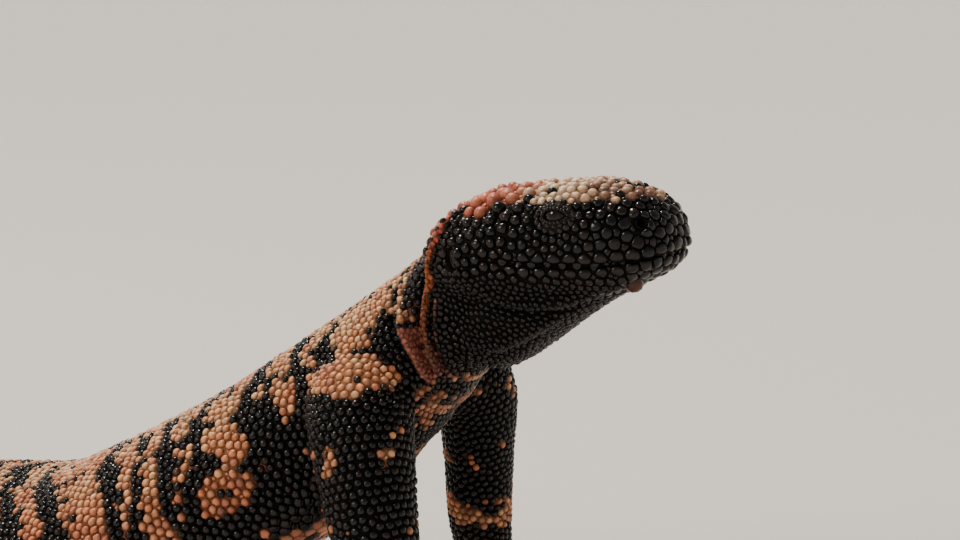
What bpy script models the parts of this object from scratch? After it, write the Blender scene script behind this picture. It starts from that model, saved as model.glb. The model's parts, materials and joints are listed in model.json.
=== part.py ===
"""Gila monster, life size, still model.

Frame: metres, +Z up, the animal faces -Y, its left side is +X, the floor is z = 0.
The flesh is modelled whole, as lofts along the spine and the limbs that are joined
by a voxel remesh, and is then parted with thin cuts into its named pieces.
Lengths below are in millimetres until the meshes are made.
"""

import math

import bmesh
import bpy
import numpy as np
from mathutils import Matrix, Vector

MM = 0.001
GAP = 0.3            # gap between neighbouring pieces
VOXEL = 1.35         # cell of the remesh that joins the lofts
FLESH_TRIANGLES = 2050
SHIFT = (0.75, -114.07, 0.0)   # centres the model's box on the origin

# ---------------------------------------------------------------- head
HEAD_YAW = 21.0      # turned to the animal's right
HEAD_PITCH = 7.0     # raised
SNOUT = (-20.3, -81.9, 115.8)   # mouth plane at the snout's tip
# distance behind the snout's tip, half width, top, bottom, squareness
HEAD = (
    (0.0, 4.4, 4.6, -2.8, 2.2),
    (0.8, 7.4, 6.7, -4.0, 2.3),
    (2.6, 9.9, 9.6, -5.4, 2.4),
    (5.8, 12.1, 11.9, -7.0, 2.6),
    (10.4, 13.9, 13.3, -8.4, 2.8),
    (16.0, 15.9, 14.3, -9.4, 2.9),
    (21.5, 17.8, 14.7, -10.2, 2.9),
    (28.2, 20.0, 15.0, -11.0, 2.8),
    (35.0, 21.6, 15.0, -11.6, 2.6),
    (42.0, 21.9, 14.4, -12.0, 2.4),
    (48.0, 20.2, 13.1, -12.4, 2.3),
    (54.0, 16.6, 10.2, -11.0, 2.2),
    (59.0, 10.4, 5.6, -6.5, 2.0),
)
EYE_AT, EYE_UP, EYE_OUT, EYE_R = 20.4, 8.3, 13.6, 3.0
EAR_AT, EAR_UP, EAR_OUT = 44.5, 0.5, 20.6
MOUTH_CORNER = 33.5

# ------------------------------------------------- neck, trunk and tail
# x, y, z of the centre, half width, half height, squareness
SPINE = (
    (-5.0, -43.0, 109.6, 12.6, 10.6, 2.0),
    (-2.4, -37.0, 103.2, 17.0, 13.8, 2.0),
    (-0.6, -26.0, 92.0, 18.6, 15.6, 2.1),
    (0.0, -12.0, 78.4, 21.2, 18.4, 2.1),
    (0.0, 3.0, 64.6, 24.2, 21.0, 2.2),
    (0.0, 19.0, 51.8, 28.4, 22.6, 2.2),
    (0.0, 35.0, 41.6, 32.2, 23.4, 2.2),
    (0.0, 52.0, 32.8, 35.0, 23.2, 2.2),
    (0.0, 78.0, 22.8, 36.8, 21.8, 2.3),
    (0.0, 106.0, 20.3, 36.4, 21.2, 2.3),
    (0.0, 136.0, 19.8, 31.8, 20.7, 2.3),
    (0.0, 160.0, 18.8, 25.6, 19.4, 2.2),
    (0.6, 182.0, 16.8, 19.4, 17.2, 2.1),
    (2.6, 206.0, 16.6, 19.4, 17.1, 2.1),
    (7.6, 232.0, 15.8, 19.4, 16.3, 2.1),
    (16.6, 257.0, 13.8, 17.0, 14.3, 2.1),
    (29.6, 280.0, 11.0, 13.4, 11.5, 2.0),
    (45.0, 299.0, 7.6, 9.0, 8.1, 2.0),
    (56.0, 309.0, 4.8, 4.8, 4.8, 2.0),
)
# throat: distance behind the snout, height below the mouth plane, half width, half height
THROAT = (
    (8.0, -5.4, 4.6, 2.8),
    (15.0, -6.2, 8.6, 4.9),
    (22.0, -7.0, 12.8, 7.6),
    (31.5, -9.3, 16.0, 11.0),
    (41.5, -13.4, 17.2, 12.8),
    (49.5, -16.4, 16.0, 11.4),
)

# ------------------------------------------------------------- limbs
# joints of each limb from inside the trunk to the wrist or ankle, with the radius there
LIMBS = {
    "arm_r": (
        (-6.0, -9.0, 76.0, 11.4), (-20.0, -11.0, 74.5, 12.6), (-30.0, -16.0, 60.0, 11.0),
        (-36.6, -21.0, 43.5, 9.2), (-37.8, -23.0, 28.0, 8.6), (-38.0, -25.5, 11.5, 6.8),
    ),
    "arm_l": (
        (6.0, -11.0, 76.0, 11.4), (19.0, -16.5, 75.5, 12.6), (28.5, -25.0, 67.5, 11.4),
        (33.0, -25.5, 48.0, 9.6), (34.6, -25.5, 29.5, 8.8), (35.0, -28.0, 11.5, 6.8),
    ),
    "leg_r": (
        (-6.0, 156.0, 20.0, 12.5), (-17.0, 155.0, 20.5, 13.4), (-33.0, 150.0, 24.0, 12.0),
        (-49.5, 146.5, 27.0, 9.8), (-55.5, 156.5, 18.5, 9.2), (-59.5, 166.0, 10.0, 7.0),
    ),
    "leg_l": (
        (6.0, 158.0, 20.0, 12.5), (17.0, 159.0, 20.5, 13.4), (33.0, 161.0, 24.0, 12.0),
        (49.5, 163.0, 27.0, 9.8), (54.5, 173.5, 18.5, 9.2), (58.0, 183.5, 10.0, 7.0),
    ),
}
# sole centre, heading in degrees from -Y towards +X, half length, half width, toe lengths from the inner side
SOLES = {
    "arm_r": ((-38.6, -33.0), -10.0, 10.5, 8.6, (9.5, 12.5, 13.5, 12.5, 10.0)),
    "arm_l": ((35.6, -35.5), 10.0, 10.5, 8.6, (9.5, 12.5, 13.5, 12.5, 10.0)),
    "leg_r": ((-63.5, 157.5), -30.0, 12.5, 8.6, (9.5, 13.0, 15.0, 14.0, 11.0)),
    "leg_l": ((62.0, 175.0), 30.0, 12.5, 8.6, (9.5, 13.0, 15.0, 14.0, 11.0)),
}
TOE_SPREAD = (-62.0, -31.0, -3.0, 25.0, 56.0)   # toe headings from the inner side
TOE_RADII = (3.9, 3.4, 2.7)
CLAW_LENGTH, CLAW_R = 6.4, 1.5
NAMES = {"arm": ("upper_arm", "forearm", "hand"), "leg": ("thigh", "shank", "foot")}


# ------------------------------------------------------------ helpers
def unit(v):
    v = np.asarray(v, float)
    return v / np.linalg.norm(v)


def head_frame():
    """Snout tip, forward, left and up directions of the head."""
    yaw, pitch = math.radians(HEAD_YAW), math.radians(HEAD_PITCH)
    d = np.array([-math.sin(yaw) * math.cos(pitch), -math.cos(yaw) * math.cos(pitch), math.sin(pitch)])
    left = np.array([math.cos(yaw), -math.sin(yaw), 0.0])
    return np.array(SNOUT), d, left, np.cross(d, left)


def head_point(s, v, w):
    """World point of head coordinates: behind the snout, to the left, above the mouth plane."""
    tip, d, left, up = head_frame()
    return tip - s * d + v * left + w * up


def catmull(keys, count):
    """Rows read evenly along a smooth curve through the key rows."""
    keys = np.asarray(keys, float)
    ext = np.vstack([2 * keys[0] - keys[1], keys, 2 * keys[-1] - keys[-2]])
    rows = []
    for t in np.linspace(0, len(keys) - 1, count):
        i = min(int(t), len(keys) - 2)
        f = t - i
        p0, p1, p2, p3 = ext[i : i + 4]
        rows.append(
            0.5 * (2 * p1 + (p2 - p0) * f + (2 * p0 - 5 * p1 + 4 * p2 - p3) * f**2 + (3 * p1 - p0 - 3 * p2 + p3) * f**3)
        )
    return np.array(rows)


def ring(centre, side, up, a, top, bottom, square, sides):
    """A superellipse with its own height above and below its centre."""
    t = np.linspace(0, 2 * math.pi, sides, endpoint=False)
    c, s = np.cos(t), np.sin(t)
    x = a * np.sign(c) * np.abs(c) ** (2 / square)
    y = np.where(s > 0, top, -bottom) * np.abs(s) ** (2 / square)
    return centre + x[:, None] * side + y[:, None] * up


def loft(rings):
    """A closed skin over rings of the same count, its ends closed by a fan."""
    count, sides = len(rings), len(rings[0])
    points = np.vstack([*rings, rings[0].mean(0), rings[-1].mean(0)])
    faces = []
    for i in range(count - 1):
        for j in range(sides):
            k = (j + 1) % sides
            faces.append((i * sides + j, i * sides + k, (i + 1) * sides + k, (i + 1) * sides + j))
    first, last = count * sides, count * sides + 1
    for j in range(sides):
        k = (j + 1) % sides
        faces.append((first, k, j))
        faces.append((last, (count - 1) * sides + j, (count - 1) * sides + k))
    return points, faces


def along(rows, sides, upright=(0, 0, 1)):
    """A loft along a path: rows hold x, y, z, half width, half height, squareness."""
    centres = rows[:, :3]
    ahead = np.gradient(centres, axis=0)
    rings = []
    for row, step in zip(rows, ahead):
        t = unit(step)
        side = unit(np.cross(t, upright))
        up = np.cross(side, t)
        rings.append(ring(row[:3], side, up, row[3], row[4], row[4], row[5], sides))
    return loft(rings)


def ball(centre, radii, turn=0.0, segments=20, rings=12):
    bm = bmesh.new()
    bmesh.ops.create_uvsphere(bm, u_segments=segments, v_segments=rings, radius=1.0)
    points = np.array([v.co[:] for v in bm.verts]) * np.asarray(radii, float)
    faces = [tuple(v.index for v in f.verts) for f in bm.faces]
    bm.free()
    c, s = math.cos(turn), math.sin(turn)
    points = points @ np.array([[c, -s, 0], [s, c, 0], [0, 0, 1]]).T
    return points + np.asarray(centre, float), faces


def head_loft(count, sides):
    tip, d, left, up = head_frame()
    rows = catmull(HEAD, count)
    return loft([ring(tip - r[0] * d, left, up, r[1], r[2], -r[3], r[4], sides) for r in rows])


def throat_loft(count, sides):
    tip, d, left, up = head_frame()
    rows = catmull(THROAT, count)
    return loft([ring(tip - r[0] * d + r[1] * up, left, up, r[2], r[3], r[3], 2.1, sides) for r in rows])


def spine_loft(count, sides):
    return along(catmull(SPINE, count), sides)


def limb_loft(name, count, sides):
    rows = catmull(LIMBS[name], count)
    rows = np.column_stack([rows[:, :3], rows[:, 3], rows[:, 3], np.full(len(rows), 2.0)])
    return along(rows, sides, upright=(0.0, 1.0, 0.05))


def toes_of(name):
    """Paths of the five toes and claws of one foot, inner toe first."""
    (cx, cy), heading, length, width, lengths = SOLES[name]
    outer = -1.0 if name.endswith("_r") else 1.0
    found = []
    for spread, reach in zip(TOE_SPREAD, lengths):
        a = math.radians(heading + outer * spread)
        way = np.array([math.sin(a), -math.cos(a), 0.0])
        h = math.radians(heading)
        ahead = np.array([math.sin(h), -math.cos(h), 0.0])
        root = np.array([cx, cy, 0.0]) + ahead * (length - 6.5) + way * 3.0
        toe = [root + way * (reach * t) + np.array([0, 0, z]) for t, z in ((0, 4.2), (0.55, 4.3), (1.0, 2.9))]
        tip = root + way * reach
        claw = [
            tip + way * (CLAW_LENGTH * t) + np.array([0, 0, z])
            for t, z in ((-0.16, 3.2), (0.2, 3.5), (0.5, 3.0), (0.78, 1.9), (1.0, 0.5))
        ]
        found.append((np.array(toe), np.array(claw)))
    return found


def toe_loft(toe, count, sides):
    rows = np.column_stack([toe, TOE_RADII, TOE_RADII, [2.0] * 3])
    rows = np.vstack([rows, rows[-1] + [*(unit(rows[-1][:3] - rows[-2][:3]) * 1.2), -1.0, -1.0, 0]])
    return along(catmull(rows, count), sides)


def claw_loft(claw, grow, sides):
    radii = CLAW_R * np.array([1.0, 0.92, 0.7, 0.42, 0.16]) + grow
    start = claw[0] - unit(claw[1] - claw[0]) * grow * 1.5
    path = np.vstack([start, claw[1:]])
    if grow:
        path[-1] += unit(claw[-1] - claw[-2]) * grow
    rows = np.column_stack([path, radii * 0.85, radii, np.full(5, 2.0)])
    return along(rows, sides)


def flesh_pieces(fine):
    """Every loft and ball that the flesh is joined from; fine scales their facets."""
    yield head_loft(26 * fine, 28 * fine)
    yield throat_loft(14 * fine, 22 * fine)
    yield spine_loft(70 * fine, 32 * fine)
    for name, ((cx, cy), heading, length, width, _) in SOLES.items():
        yield limb_loft(name, 22 * fine, 18 * fine)
        turn = math.radians(heading)
        yield ball((cx, cy, 4.9), (width, length, 5.6), turn, 18 * fine, 12 * fine)
        wrist = np.array(LIMBS[name][-1][:3])
        yield ball(wrist + [0, 0, -3.5], (7.4, 7.4, 6.6), turn, 16 * fine, 10 * fine)
        for toe, _ in toes_of(name):
            yield toe_loft(toe, 8 * fine, 12 * fine)


# ------------------------------------------------------- scene objects
for old in list(bpy.data.objects):
    bpy.data.objects.remove(old, do_unlink=True)

scene = bpy.context.scene
body_collection = bpy.data.collections.new("gila_monster")
cutter_collection = bpy.data.collections.new("cutters")
scene.collection.children.link(body_collection)
scene.collection.children.link(cutter_collection)


def material(name, colour, roughness):
    made = bpy.data.materials.new(name)
    made.use_nodes = True
    shader = made.node_tree.nodes["Principled BSDF"]
    shader.inputs["Base Color"].default_value = (*colour, 1.0)
    shader.inputs["Roughness"].default_value = roughness
    shader.inputs["Metallic"].default_value = 0.0
    return made


SALMON = material("beaded_skin_salmon", (0.72, 0.36, 0.22), 0.45)
DARK = material("beaded_skin_black", (0.03, 0.022, 0.02), 0.35)
EYE = material("eye", (0.04, 0.02, 0.012), 0.08)
EAR = material("ear_drum", (0.10, 0.05, 0.04), 0.5)
CLAW = material("claw", (0.10, 0.07, 0.055), 0.3)


def mesh_object(name, parts, collection, finish=None):
    points, faces, start = [], [], 0
    for p, f in parts:
        points.append(p)
        faces += [tuple(i + start for i in face) for face in f]
        start += len(p)
    mesh = bpy.data.meshes.new(name)
    mesh.from_pydata(((np.vstack(points) + SHIFT) * MM).tolist(), [], faces)
    bm = bmesh.new()
    bm.from_mesh(mesh)
    bmesh.ops.recalc_face_normals(bm, faces=bm.faces)
    bm.to_mesh(mesh)
    bm.free()
    made = bpy.data.objects.new(name, mesh)
    collection.objects.link(made)
    if finish:
        mesh.materials.append(finish)
    return made


def cutter(name, parts):
    made = mesh_object(name, parts, cutter_collection)
    made.hide_render = True
    made.display_type = "WIRE"
    return made


def evaluated(obj):
    graph = bpy.context.evaluated_depsgraph_get()
    return bpy.data.meshes.new_from_object(obj.evaluated_get(graph))


def disc(name, centre, normal, radius, thick=GAP, sides=24):
    """A thin round cutter across a limb, the neck or the tail."""
    normal = unit(normal)
    side = unit(np.cross(normal, (0.31, 0.17, 0.93)))
    up = np.cross(side, normal)
    centre = np.asarray(centre, float)
    rings = [ring(centre + normal * k * thick / 2, side, up, radius, radius, radius, 2.0, sides) for k in (-1, 1)]
    return cutter(name, [loft(rings)])


# ------------------------------------------------- the flesh, made whole
flesh = mesh_object("flesh", list(flesh_pieces(1)), body_collection)
remesh = flesh.modifiers.new("join", "REMESH")
remesh.mode = "VOXEL"
remesh.voxel_size = VOXEL * MM
smooth = flesh.modifiers.new("even", "SMOOTH")
smooth.factor = 0.5
smooth.iterations = 5
whole = evaluated(flesh)
flesh.modifiers.clear()
old = flesh.data
flesh.data = whole
bpy.data.meshes.remove(old)
reduce = flesh.modifiers.new("reduce", "DECIMATE")
reduce.use_collapse_triangulate = True
reduce.ratio = FLESH_TRIANGLES / (2 * len(whole.polygons))
whole = evaluated(flesh)
flesh.modifiers.clear()
flesh.data = whole

# ------------------------------------------------------------ the cuts
low = bmesh.new()
bmesh.ops.create_cube(low, size=1.0)
floor_points = np.array([v.co[:] for v in low.verts]) * (300.0, 600.0, 30.0) + (-SHIFT[0], -SHIFT[1], -15.0)
floor_faces = [tuple(v.index for v in f.verts) for f in low.faces]
low.free()
cutter("floor", [(floor_points, floor_faces)])

spine = catmull(SPINE, 400)


def across(y_at, radius, name):
    """A cut square to the spine where its centre passes the given y."""
    i = int(np.argmin(np.abs(spine[:, 1] - y_at)))
    disc(name, spine[i, :3], spine[min(i + 1, 399), :3] - spine[i - 1, :3], radius)


across(-23.0, 33.0, "cut_neck_chest")
across(62.0, 46.0, "cut_chest_belly")
across(124.0, 42.0, "cut_belly_pelvis")
across(186.0, 25.0, "cut_pelvis_tail")
across(226.0, 24.0, "cut_tail_1")
across(268.0, 22.0, "cut_tail_2")

# head from neck: a plane from the nape down behind the jaw to the throat
nape, under = head_point(60.0, 0, 16.0), head_point(41.0, 0, -30.0)
slope = unit(under - nape)
_, forward, left, up = head_frame()
disc("cut_head_neck", (nape + under) / 2, np.cross(slope, left), 32.0)


def mouth_height(s):
    """The mouth line: it dips behind the snout and rises to the corner."""
    return -1.7 - 0.7 * math.sin(math.pi * min(max(s, 0.0), 22.0) / 22.0) + 0.008 * max(s - 18.0, 0.0) ** 2


def sheet(name, line):
    """A thin cutter through the head, square to its side view, along a line of (s, w) points."""
    line = np.array(line)
    step = np.gradient(line, axis=0)
    step /= np.linalg.norm(step, axis=1)[:, None]
    square = np.column_stack([-step[:, 1], step[:, 0]]) * GAP / 2
    outline = np.vstack([line + square, (line - square)[::-1]])
    points = np.vstack([[head_point(s, v, w) for s, w in outline] for v in (-34.0, 34.0)])
    count = len(outline)
    faces = [tuple(range(count)), tuple(range(2 * count - 1, count - 1, -1))]
    faces += [(i, count + i, count + (i + 1) % count, (i + 1) % count) for i in range(count)]
    cutter(name, [(points, faces)])


corner = (MOUTH_CORNER, mouth_height(MOUTH_CORNER))
sheet("cut_mouth", [(s, mouth_height(s)) for s in np.linspace(-3.0, MOUTH_CORNER, 12)])
sheet("cut_jaw", [(corner[0] - 0.3 + 0.31 * t, corner[1] + t) for t in (0.6, -8.0, -30.0)])

eyes, ears = {}, {}
for side, sign in (("l", 1.0), ("r", -1.0)):
    centre = head_point(EYE_AT, sign * EYE_OUT, EYE_UP)
    cutter("socket_" + side, [ball(centre, [EYE_R + GAP] * 3, 0.0, 12, 8)])
    eyes[side] = mesh_object("eye_" + side, [ball(centre, [EYE_R] * 3, 0.0, 12, 8)], body_collection, EYE)
    centre = head_point(EAR_AT, sign * EAR_OUT, EAR_UP)
    turn = math.radians(HEAD_YAW) * -1.0
    cutter("ear_pit_" + side, [ball(centre, (2.6, 2.3, 3.6), turn, 12, 8)])
    drum = head_point(EAR_AT, sign * (EAR_OUT - 1.1), EAR_UP)
    ears[side] = mesh_object("ear_" + side, [ball(drum, (1.1, 1.7, 2.9), turn, 10, 7)], body_collection, EAR)

for name, rows in LIMBS.items():
    rows = np.array(rows)
    kind, side = name.split("_")
    thigh = rows[2, :3] - rows[1, :3]
    if kind == "arm":
        disc("cut_" + name, rows[1, :3] + 0.72 * thigh, thigh, 15.5)
    else:
        disc("cut_" + name, rows[1, :3] + 1.12 * thigh, thigh + [0, 5.0 if side == "r" else 0.0, 0], 17.0)
    bend = rows[4, :3] - rows[2, :3]
    disc("cut_mid_" + name, rows[3, :3], bend, 13.0 if kind == "arm" else 14.0)
    shin = unit(rows[4, :3] - rows[5, :3])
    if kind == "arm":
        disc("cut_end_" + name, rows[5, :3] + shin * 1.4, shin + [0, 0, 1.2], 12.5)
    else:
        disc("cut_end_" + name, rows[5, :3] + shin * 3.6, shin * 0.25 + [0, 0, 1.0], 17.0)
    for i, (_, claw) in enumerate(toes_of(name), 1):
        where = NAMES[kind][2]
        cutter(f"bed_{where}_{side}_{i}", [claw_loft(claw, GAP, 6)])
        mesh_object(f"claw_{where}_{side}_{i}", [claw_loft(claw, 0.0, 6)], body_collection, CLAW)

cut = flesh.modifiers.new("part", "BOOLEAN")
cut.operation = "DIFFERENCE"
cut.operand_type = "COLLECTION"
cut.collection = cutter_collection
cut.solver = "EXACT"
cut.use_self = False
parted = evaluated(flesh)
flesh.modifiers.clear()

# ------------------------------------------ each loose piece gets its name
tip, forward, left, up = head_frame()
seeds = {
    "head": head_point(34.0, 0, 4.0),
    "lower_jaw": head_point(14.0, 0, -5.0),
    "neck": np.array([-0.5, -30.0, 92.0]),
    "chest": np.array([0.0, 20.0, 50.0]),
    "belly": np.array([0.0, 93.0, 23.0]),
    "pelvis": np.array([0.0, 153.0, 19.5]),
    "tail_base": np.array([3.0, 206.0, 16.0]),
    "tail_middle": np.array([13.0, 246.0, 14.5]),
    "tail_tip": np.array([40.0, 292.0, 9.0]),
}
for name, rows in LIMBS.items():
    rows = np.array(rows)[:, :3]
    kind, side = name.split("_")
    upper, lower, end = NAMES[kind]
    seeds[f"{upper}_{side}"] = (rows[2] + rows[3]) / 2
    seeds[f"{lower}_{side}"] = (rows[4] * 2 + rows[5]) / 3
    seeds[f"{end}_{side}"] = np.array([*SOLES[name][0], 4.5])

bm = bmesh.new()
bm.from_mesh(parted)
bmesh.ops.triangulate(bm, faces=bm.faces)
bmesh.ops.remove_doubles(bm, verts=bm.verts, dist=2e-6)
bm.verts.ensure_lookup_table()
island = {}
groups = []
for seed in bm.verts:
    if seed.index in island:
        continue
    found, queue = [], [seed]
    island[seed.index] = len(groups)
    while queue:
        v = queue.pop()
        found.append(v)
        for edge in v.link_edges:
            w = edge.other_vert(v)
            if w.index not in island:
                island[w.index] = len(groups)
                queue.append(w)
    groups.append(found)

pieces = []
for found in groups:
    index = {v.index: i for i, v in enumerate(found)}
    faces = {f for v in found for f in v.link_faces}
    faces = [tuple(index[v.index] for v in f.verts) for f in sorted(faces, key=lambda f: f.index)]
    points = np.array([v.co[:] for v in found]) / MM - SHIFT
    tri = points[np.array(faces)] if faces else np.zeros((0, 3, 3))
    parts6 = np.einsum("ij,ij->i", tri[:, 0], np.cross(tri[:, 1], tri[:, 2])) / 6
    volume = parts6.sum()
    if volume < 60.0:
        continue
    centroid = (parts6[:, None] * tri.sum(1) / 4).sum(0) / volume
    pieces.append((centroid, points, faces))
bm.free()

left_over = dict(seeds)
for centroid, points, faces in sorted(pieces, key=lambda p: -len(p[1])):
    name = min(left_over, key=lambda n: np.linalg.norm(left_over[n] - centroid))
    del left_over[name]
    dark = name.split("_")[0] in ("head", "lower", "hand", "foot")
    made = mesh_object(name, [(points, faces)], body_collection, DARK if dark else SALMON)
    made.data.set_sharp_from_angle(angle=math.radians(50))
if left_over:
    print("pieces not found:", sorted(left_over))

bpy.data.objects.remove(flesh, do_unlink=True)
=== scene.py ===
"""Gila monster, life size: the looks round the fixed frame.

One skin stands for all the flesh, with eyelids, lips, nostrils, ear openings and neck
folds. The beads are solid domes over it, one for each scale, laid in rows along the
body and limbs, and shaped as cells between their neighbours. Skin and beads share one
marking function. Lengths are in millimetres until the meshes are made; the animal
faces -Y, its left side is +X, and the floor is z = 0.
"""

import json
import math

import bmesh
import bpy
import numpy as np
from mathutils import Matrix, Vector, noise
from mathutils.bvhtree import BVHTree
from mathutils.kdtree import KDTree

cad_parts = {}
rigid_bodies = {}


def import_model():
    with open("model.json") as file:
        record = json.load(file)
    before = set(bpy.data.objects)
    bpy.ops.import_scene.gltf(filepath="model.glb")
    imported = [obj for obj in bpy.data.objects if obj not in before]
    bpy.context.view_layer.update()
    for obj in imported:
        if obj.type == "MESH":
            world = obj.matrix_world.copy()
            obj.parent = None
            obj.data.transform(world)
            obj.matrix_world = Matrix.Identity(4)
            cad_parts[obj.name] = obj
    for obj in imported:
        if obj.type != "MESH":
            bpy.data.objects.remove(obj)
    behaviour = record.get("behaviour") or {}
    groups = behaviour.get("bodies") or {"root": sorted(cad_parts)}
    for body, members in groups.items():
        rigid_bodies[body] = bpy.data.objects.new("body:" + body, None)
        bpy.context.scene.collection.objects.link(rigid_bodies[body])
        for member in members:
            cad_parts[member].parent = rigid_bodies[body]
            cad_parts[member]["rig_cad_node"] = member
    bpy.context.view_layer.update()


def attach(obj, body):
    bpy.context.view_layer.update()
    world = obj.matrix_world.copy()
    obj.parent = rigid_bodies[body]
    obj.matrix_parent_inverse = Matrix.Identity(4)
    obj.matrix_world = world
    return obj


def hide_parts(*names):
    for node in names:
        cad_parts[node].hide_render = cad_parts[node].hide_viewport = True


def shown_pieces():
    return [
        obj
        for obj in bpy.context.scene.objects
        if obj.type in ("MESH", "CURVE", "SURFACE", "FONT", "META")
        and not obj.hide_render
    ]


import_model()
random = np.random.default_rng(20261)

MM = 0.001
SHIFT = np.array((0.75, -114.07, 0.0))
VOXEL = 1.25
FLOOR_SKIN = 0.34      # the skin's height over the floor where the belly scales lie flat

# ------------------------------------------------- the body's own sizes
HEAD_YAW = 21.0
HEAD_PITCH = 7.0
SNOUT = (-20.3, -81.9, 115.8)
HEAD = (
    (0.0, 4.4, 4.6, -2.8, 2.2),
    (0.8, 7.4, 6.7, -4.0, 2.3),
    (2.6, 9.9, 9.6, -5.4, 2.4),
    (5.8, 12.1, 11.9, -7.0, 2.6),
    (10.4, 13.9, 13.3, -8.4, 2.8),
    (16.0, 15.9, 14.3, -9.4, 2.9),
    (21.5, 17.8, 14.7, -10.2, 2.9),
    (28.2, 20.0, 15.0, -11.0, 2.8),
    (35.0, 21.6, 15.0, -11.6, 2.6),
    (42.0, 21.9, 14.4, -12.0, 2.4),
    (48.0, 20.2, 13.1, -12.4, 2.3),
    (54.0, 16.6, 10.2, -11.0, 2.2),
    (59.0, 10.4, 5.6, -6.5, 2.0),
)
EYE_AT, EYE_UP, EYE_OUT, EYE_R = 20.4, 8.3, 13.6, 3.0
EAR_AT, EAR_UP, EAR_OUT = 44.5, 0.5, 20.6
MOUTH_CORNER = 33.5
NOSTRIL_AT, NOSTRIL_OUT, NOSTRIL_UP = 3.9, 8.7, 5.6
SPINE = (
    (-5.0, -43.0, 109.6, 12.6, 10.6, 2.0),
    (-2.4, -37.0, 103.2, 17.0, 13.8, 2.0),
    (-0.6, -26.0, 92.0, 18.6, 15.6, 2.1),
    (0.0, -12.0, 78.4, 21.2, 18.4, 2.1),
    (0.0, 3.0, 64.6, 24.2, 21.0, 2.2),
    (0.0, 19.0, 51.8, 28.4, 22.6, 2.2),
    (0.0, 35.0, 41.6, 32.2, 23.4, 2.2),
    (0.0, 52.0, 32.8, 35.0, 23.2, 2.2),
    (0.0, 78.0, 22.8, 36.8, 21.8, 2.3),
    (0.0, 106.0, 20.3, 36.4, 21.2, 2.3),
    (0.0, 136.0, 19.8, 31.8, 20.7, 2.3),
    (0.0, 160.0, 18.8, 25.6, 19.4, 2.2),
    (0.6, 182.0, 16.8, 19.4, 17.2, 2.1),
    (2.6, 206.0, 16.6, 19.4, 17.1, 2.1),
    (7.6, 232.0, 15.8, 19.4, 16.3, 2.1),
    (16.6, 257.0, 13.8, 17.0, 14.3, 2.1),
    (29.6, 280.0, 11.0, 13.4, 11.5, 2.0),
    (45.0, 299.0, 7.6, 9.0, 8.1, 2.0),
    (56.0, 309.0, 4.8, 4.8, 4.8, 2.0),
)
THROAT = (
    (8.0, -5.4, 4.6, 2.8),
    (15.0, -6.2, 8.6, 4.9),
    (22.0, -7.0, 12.8, 7.6),
    (31.5, -9.3, 16.0, 11.0),
    (41.5, -13.4, 17.2, 12.8),
    (49.5, -16.4, 16.0, 11.4),
)
LIMBS = {
    "arm_r": (
        (-6.0, -9.0, 76.0, 11.4), (-20.0, -11.0, 74.5, 12.6), (-30.0, -16.0, 60.0, 11.0),
        (-36.6, -21.0, 43.5, 9.2), (-37.8, -23.0, 28.0, 8.6), (-38.0, -25.5, 11.5, 6.8),
    ),
    "arm_l": (
        (6.0, -11.0, 76.0, 11.4), (19.0, -16.5, 75.5, 12.6), (28.5, -25.0, 67.5, 11.4),
        (33.0, -25.5, 48.0, 9.6), (34.6, -25.5, 29.5, 8.8), (35.0, -28.0, 11.5, 6.8),
    ),
    "leg_r": (
        (-6.0, 156.0, 20.0, 12.5), (-17.0, 155.0, 20.5, 13.4), (-33.0, 150.0, 24.0, 12.0),
        (-49.5, 146.5, 27.0, 9.8), (-55.5, 156.5, 18.5, 9.2), (-59.5, 166.0, 10.0, 7.0),
    ),
    "leg_l": (
        (6.0, 158.0, 20.0, 12.5), (17.0, 159.0, 20.5, 13.4), (33.0, 161.0, 24.0, 12.0),
        (49.5, 163.0, 27.0, 9.8), (54.5, 173.5, 18.5, 9.2), (58.0, 183.5, 10.0, 7.0),
    ),
}
SOLES = {
    "arm_r": ((-38.6, -33.0), -10.0, 10.5, 8.6, (9.5, 12.5, 13.5, 12.5, 10.0)),
    "arm_l": ((35.6, -35.5), 10.0, 10.5, 8.6, (9.5, 12.5, 13.5, 12.5, 10.0)),
    "leg_r": ((-63.5, 157.5), -30.0, 12.5, 8.6, (9.5, 13.0, 15.0, 14.0, 11.0)),
    "leg_l": ((62.0, 175.0), 30.0, 12.5, 8.6, (9.5, 13.0, 15.0, 14.0, 11.0)),
}
TOE_SPREAD = (-62.0, -31.0, -3.0, 25.0, 56.0)
TOE_RADII = (3.9, 3.4, 2.7)
CLAW_LENGTH, CLAW_R = 6.4, 1.5
NAMES = {"arm": ("upper_arm", "forearm", "hand"), "leg": ("thigh", "shank", "foot")}
FLESH = ["head", "lower_jaw", "neck", "chest", "belly", "pelvis", "tail_base", "tail_middle", "tail_tip"]
FLESH += [f"{part}_{side}" for kind in NAMES.values() for part in kind for side in "lr"]


# ------------------------------------------------------------ helpers
def unit(v):
    v = np.asarray(v, float)
    return v / np.linalg.norm(v)


def units(v):
    return v / np.maximum(np.linalg.norm(v, axis=-1, keepdims=True), 1e-9)


def step(x, lo, hi):
    """0 below lo, 1 above hi, smooth between; lo may be over hi."""
    t = np.clip((np.asarray(x, float) - lo) / (hi - lo), 0.0, 1.0)
    return t * t * (3.0 - 2.0 * t)


def mix(a, b, t):
    return a + (b - a) * t


YAW, PITCH = math.radians(HEAD_YAW), math.radians(HEAD_PITCH)
TIP = np.array(SNOUT)
AHEAD = np.array([-math.sin(YAW) * math.cos(PITCH), -math.cos(YAW) * math.cos(PITCH), math.sin(PITCH)])
LEFT = np.array([math.cos(YAW), -math.sin(YAW), 0.0])
ABOVE = np.cross(AHEAD, LEFT)


def head_point(s, v, w):
    return TIP - s * AHEAD + v * LEFT + w * ABOVE


def head_coords(p):
    d = np.asarray(p, float) - TIP
    return -d @ AHEAD, d @ LEFT, d @ ABOVE


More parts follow.
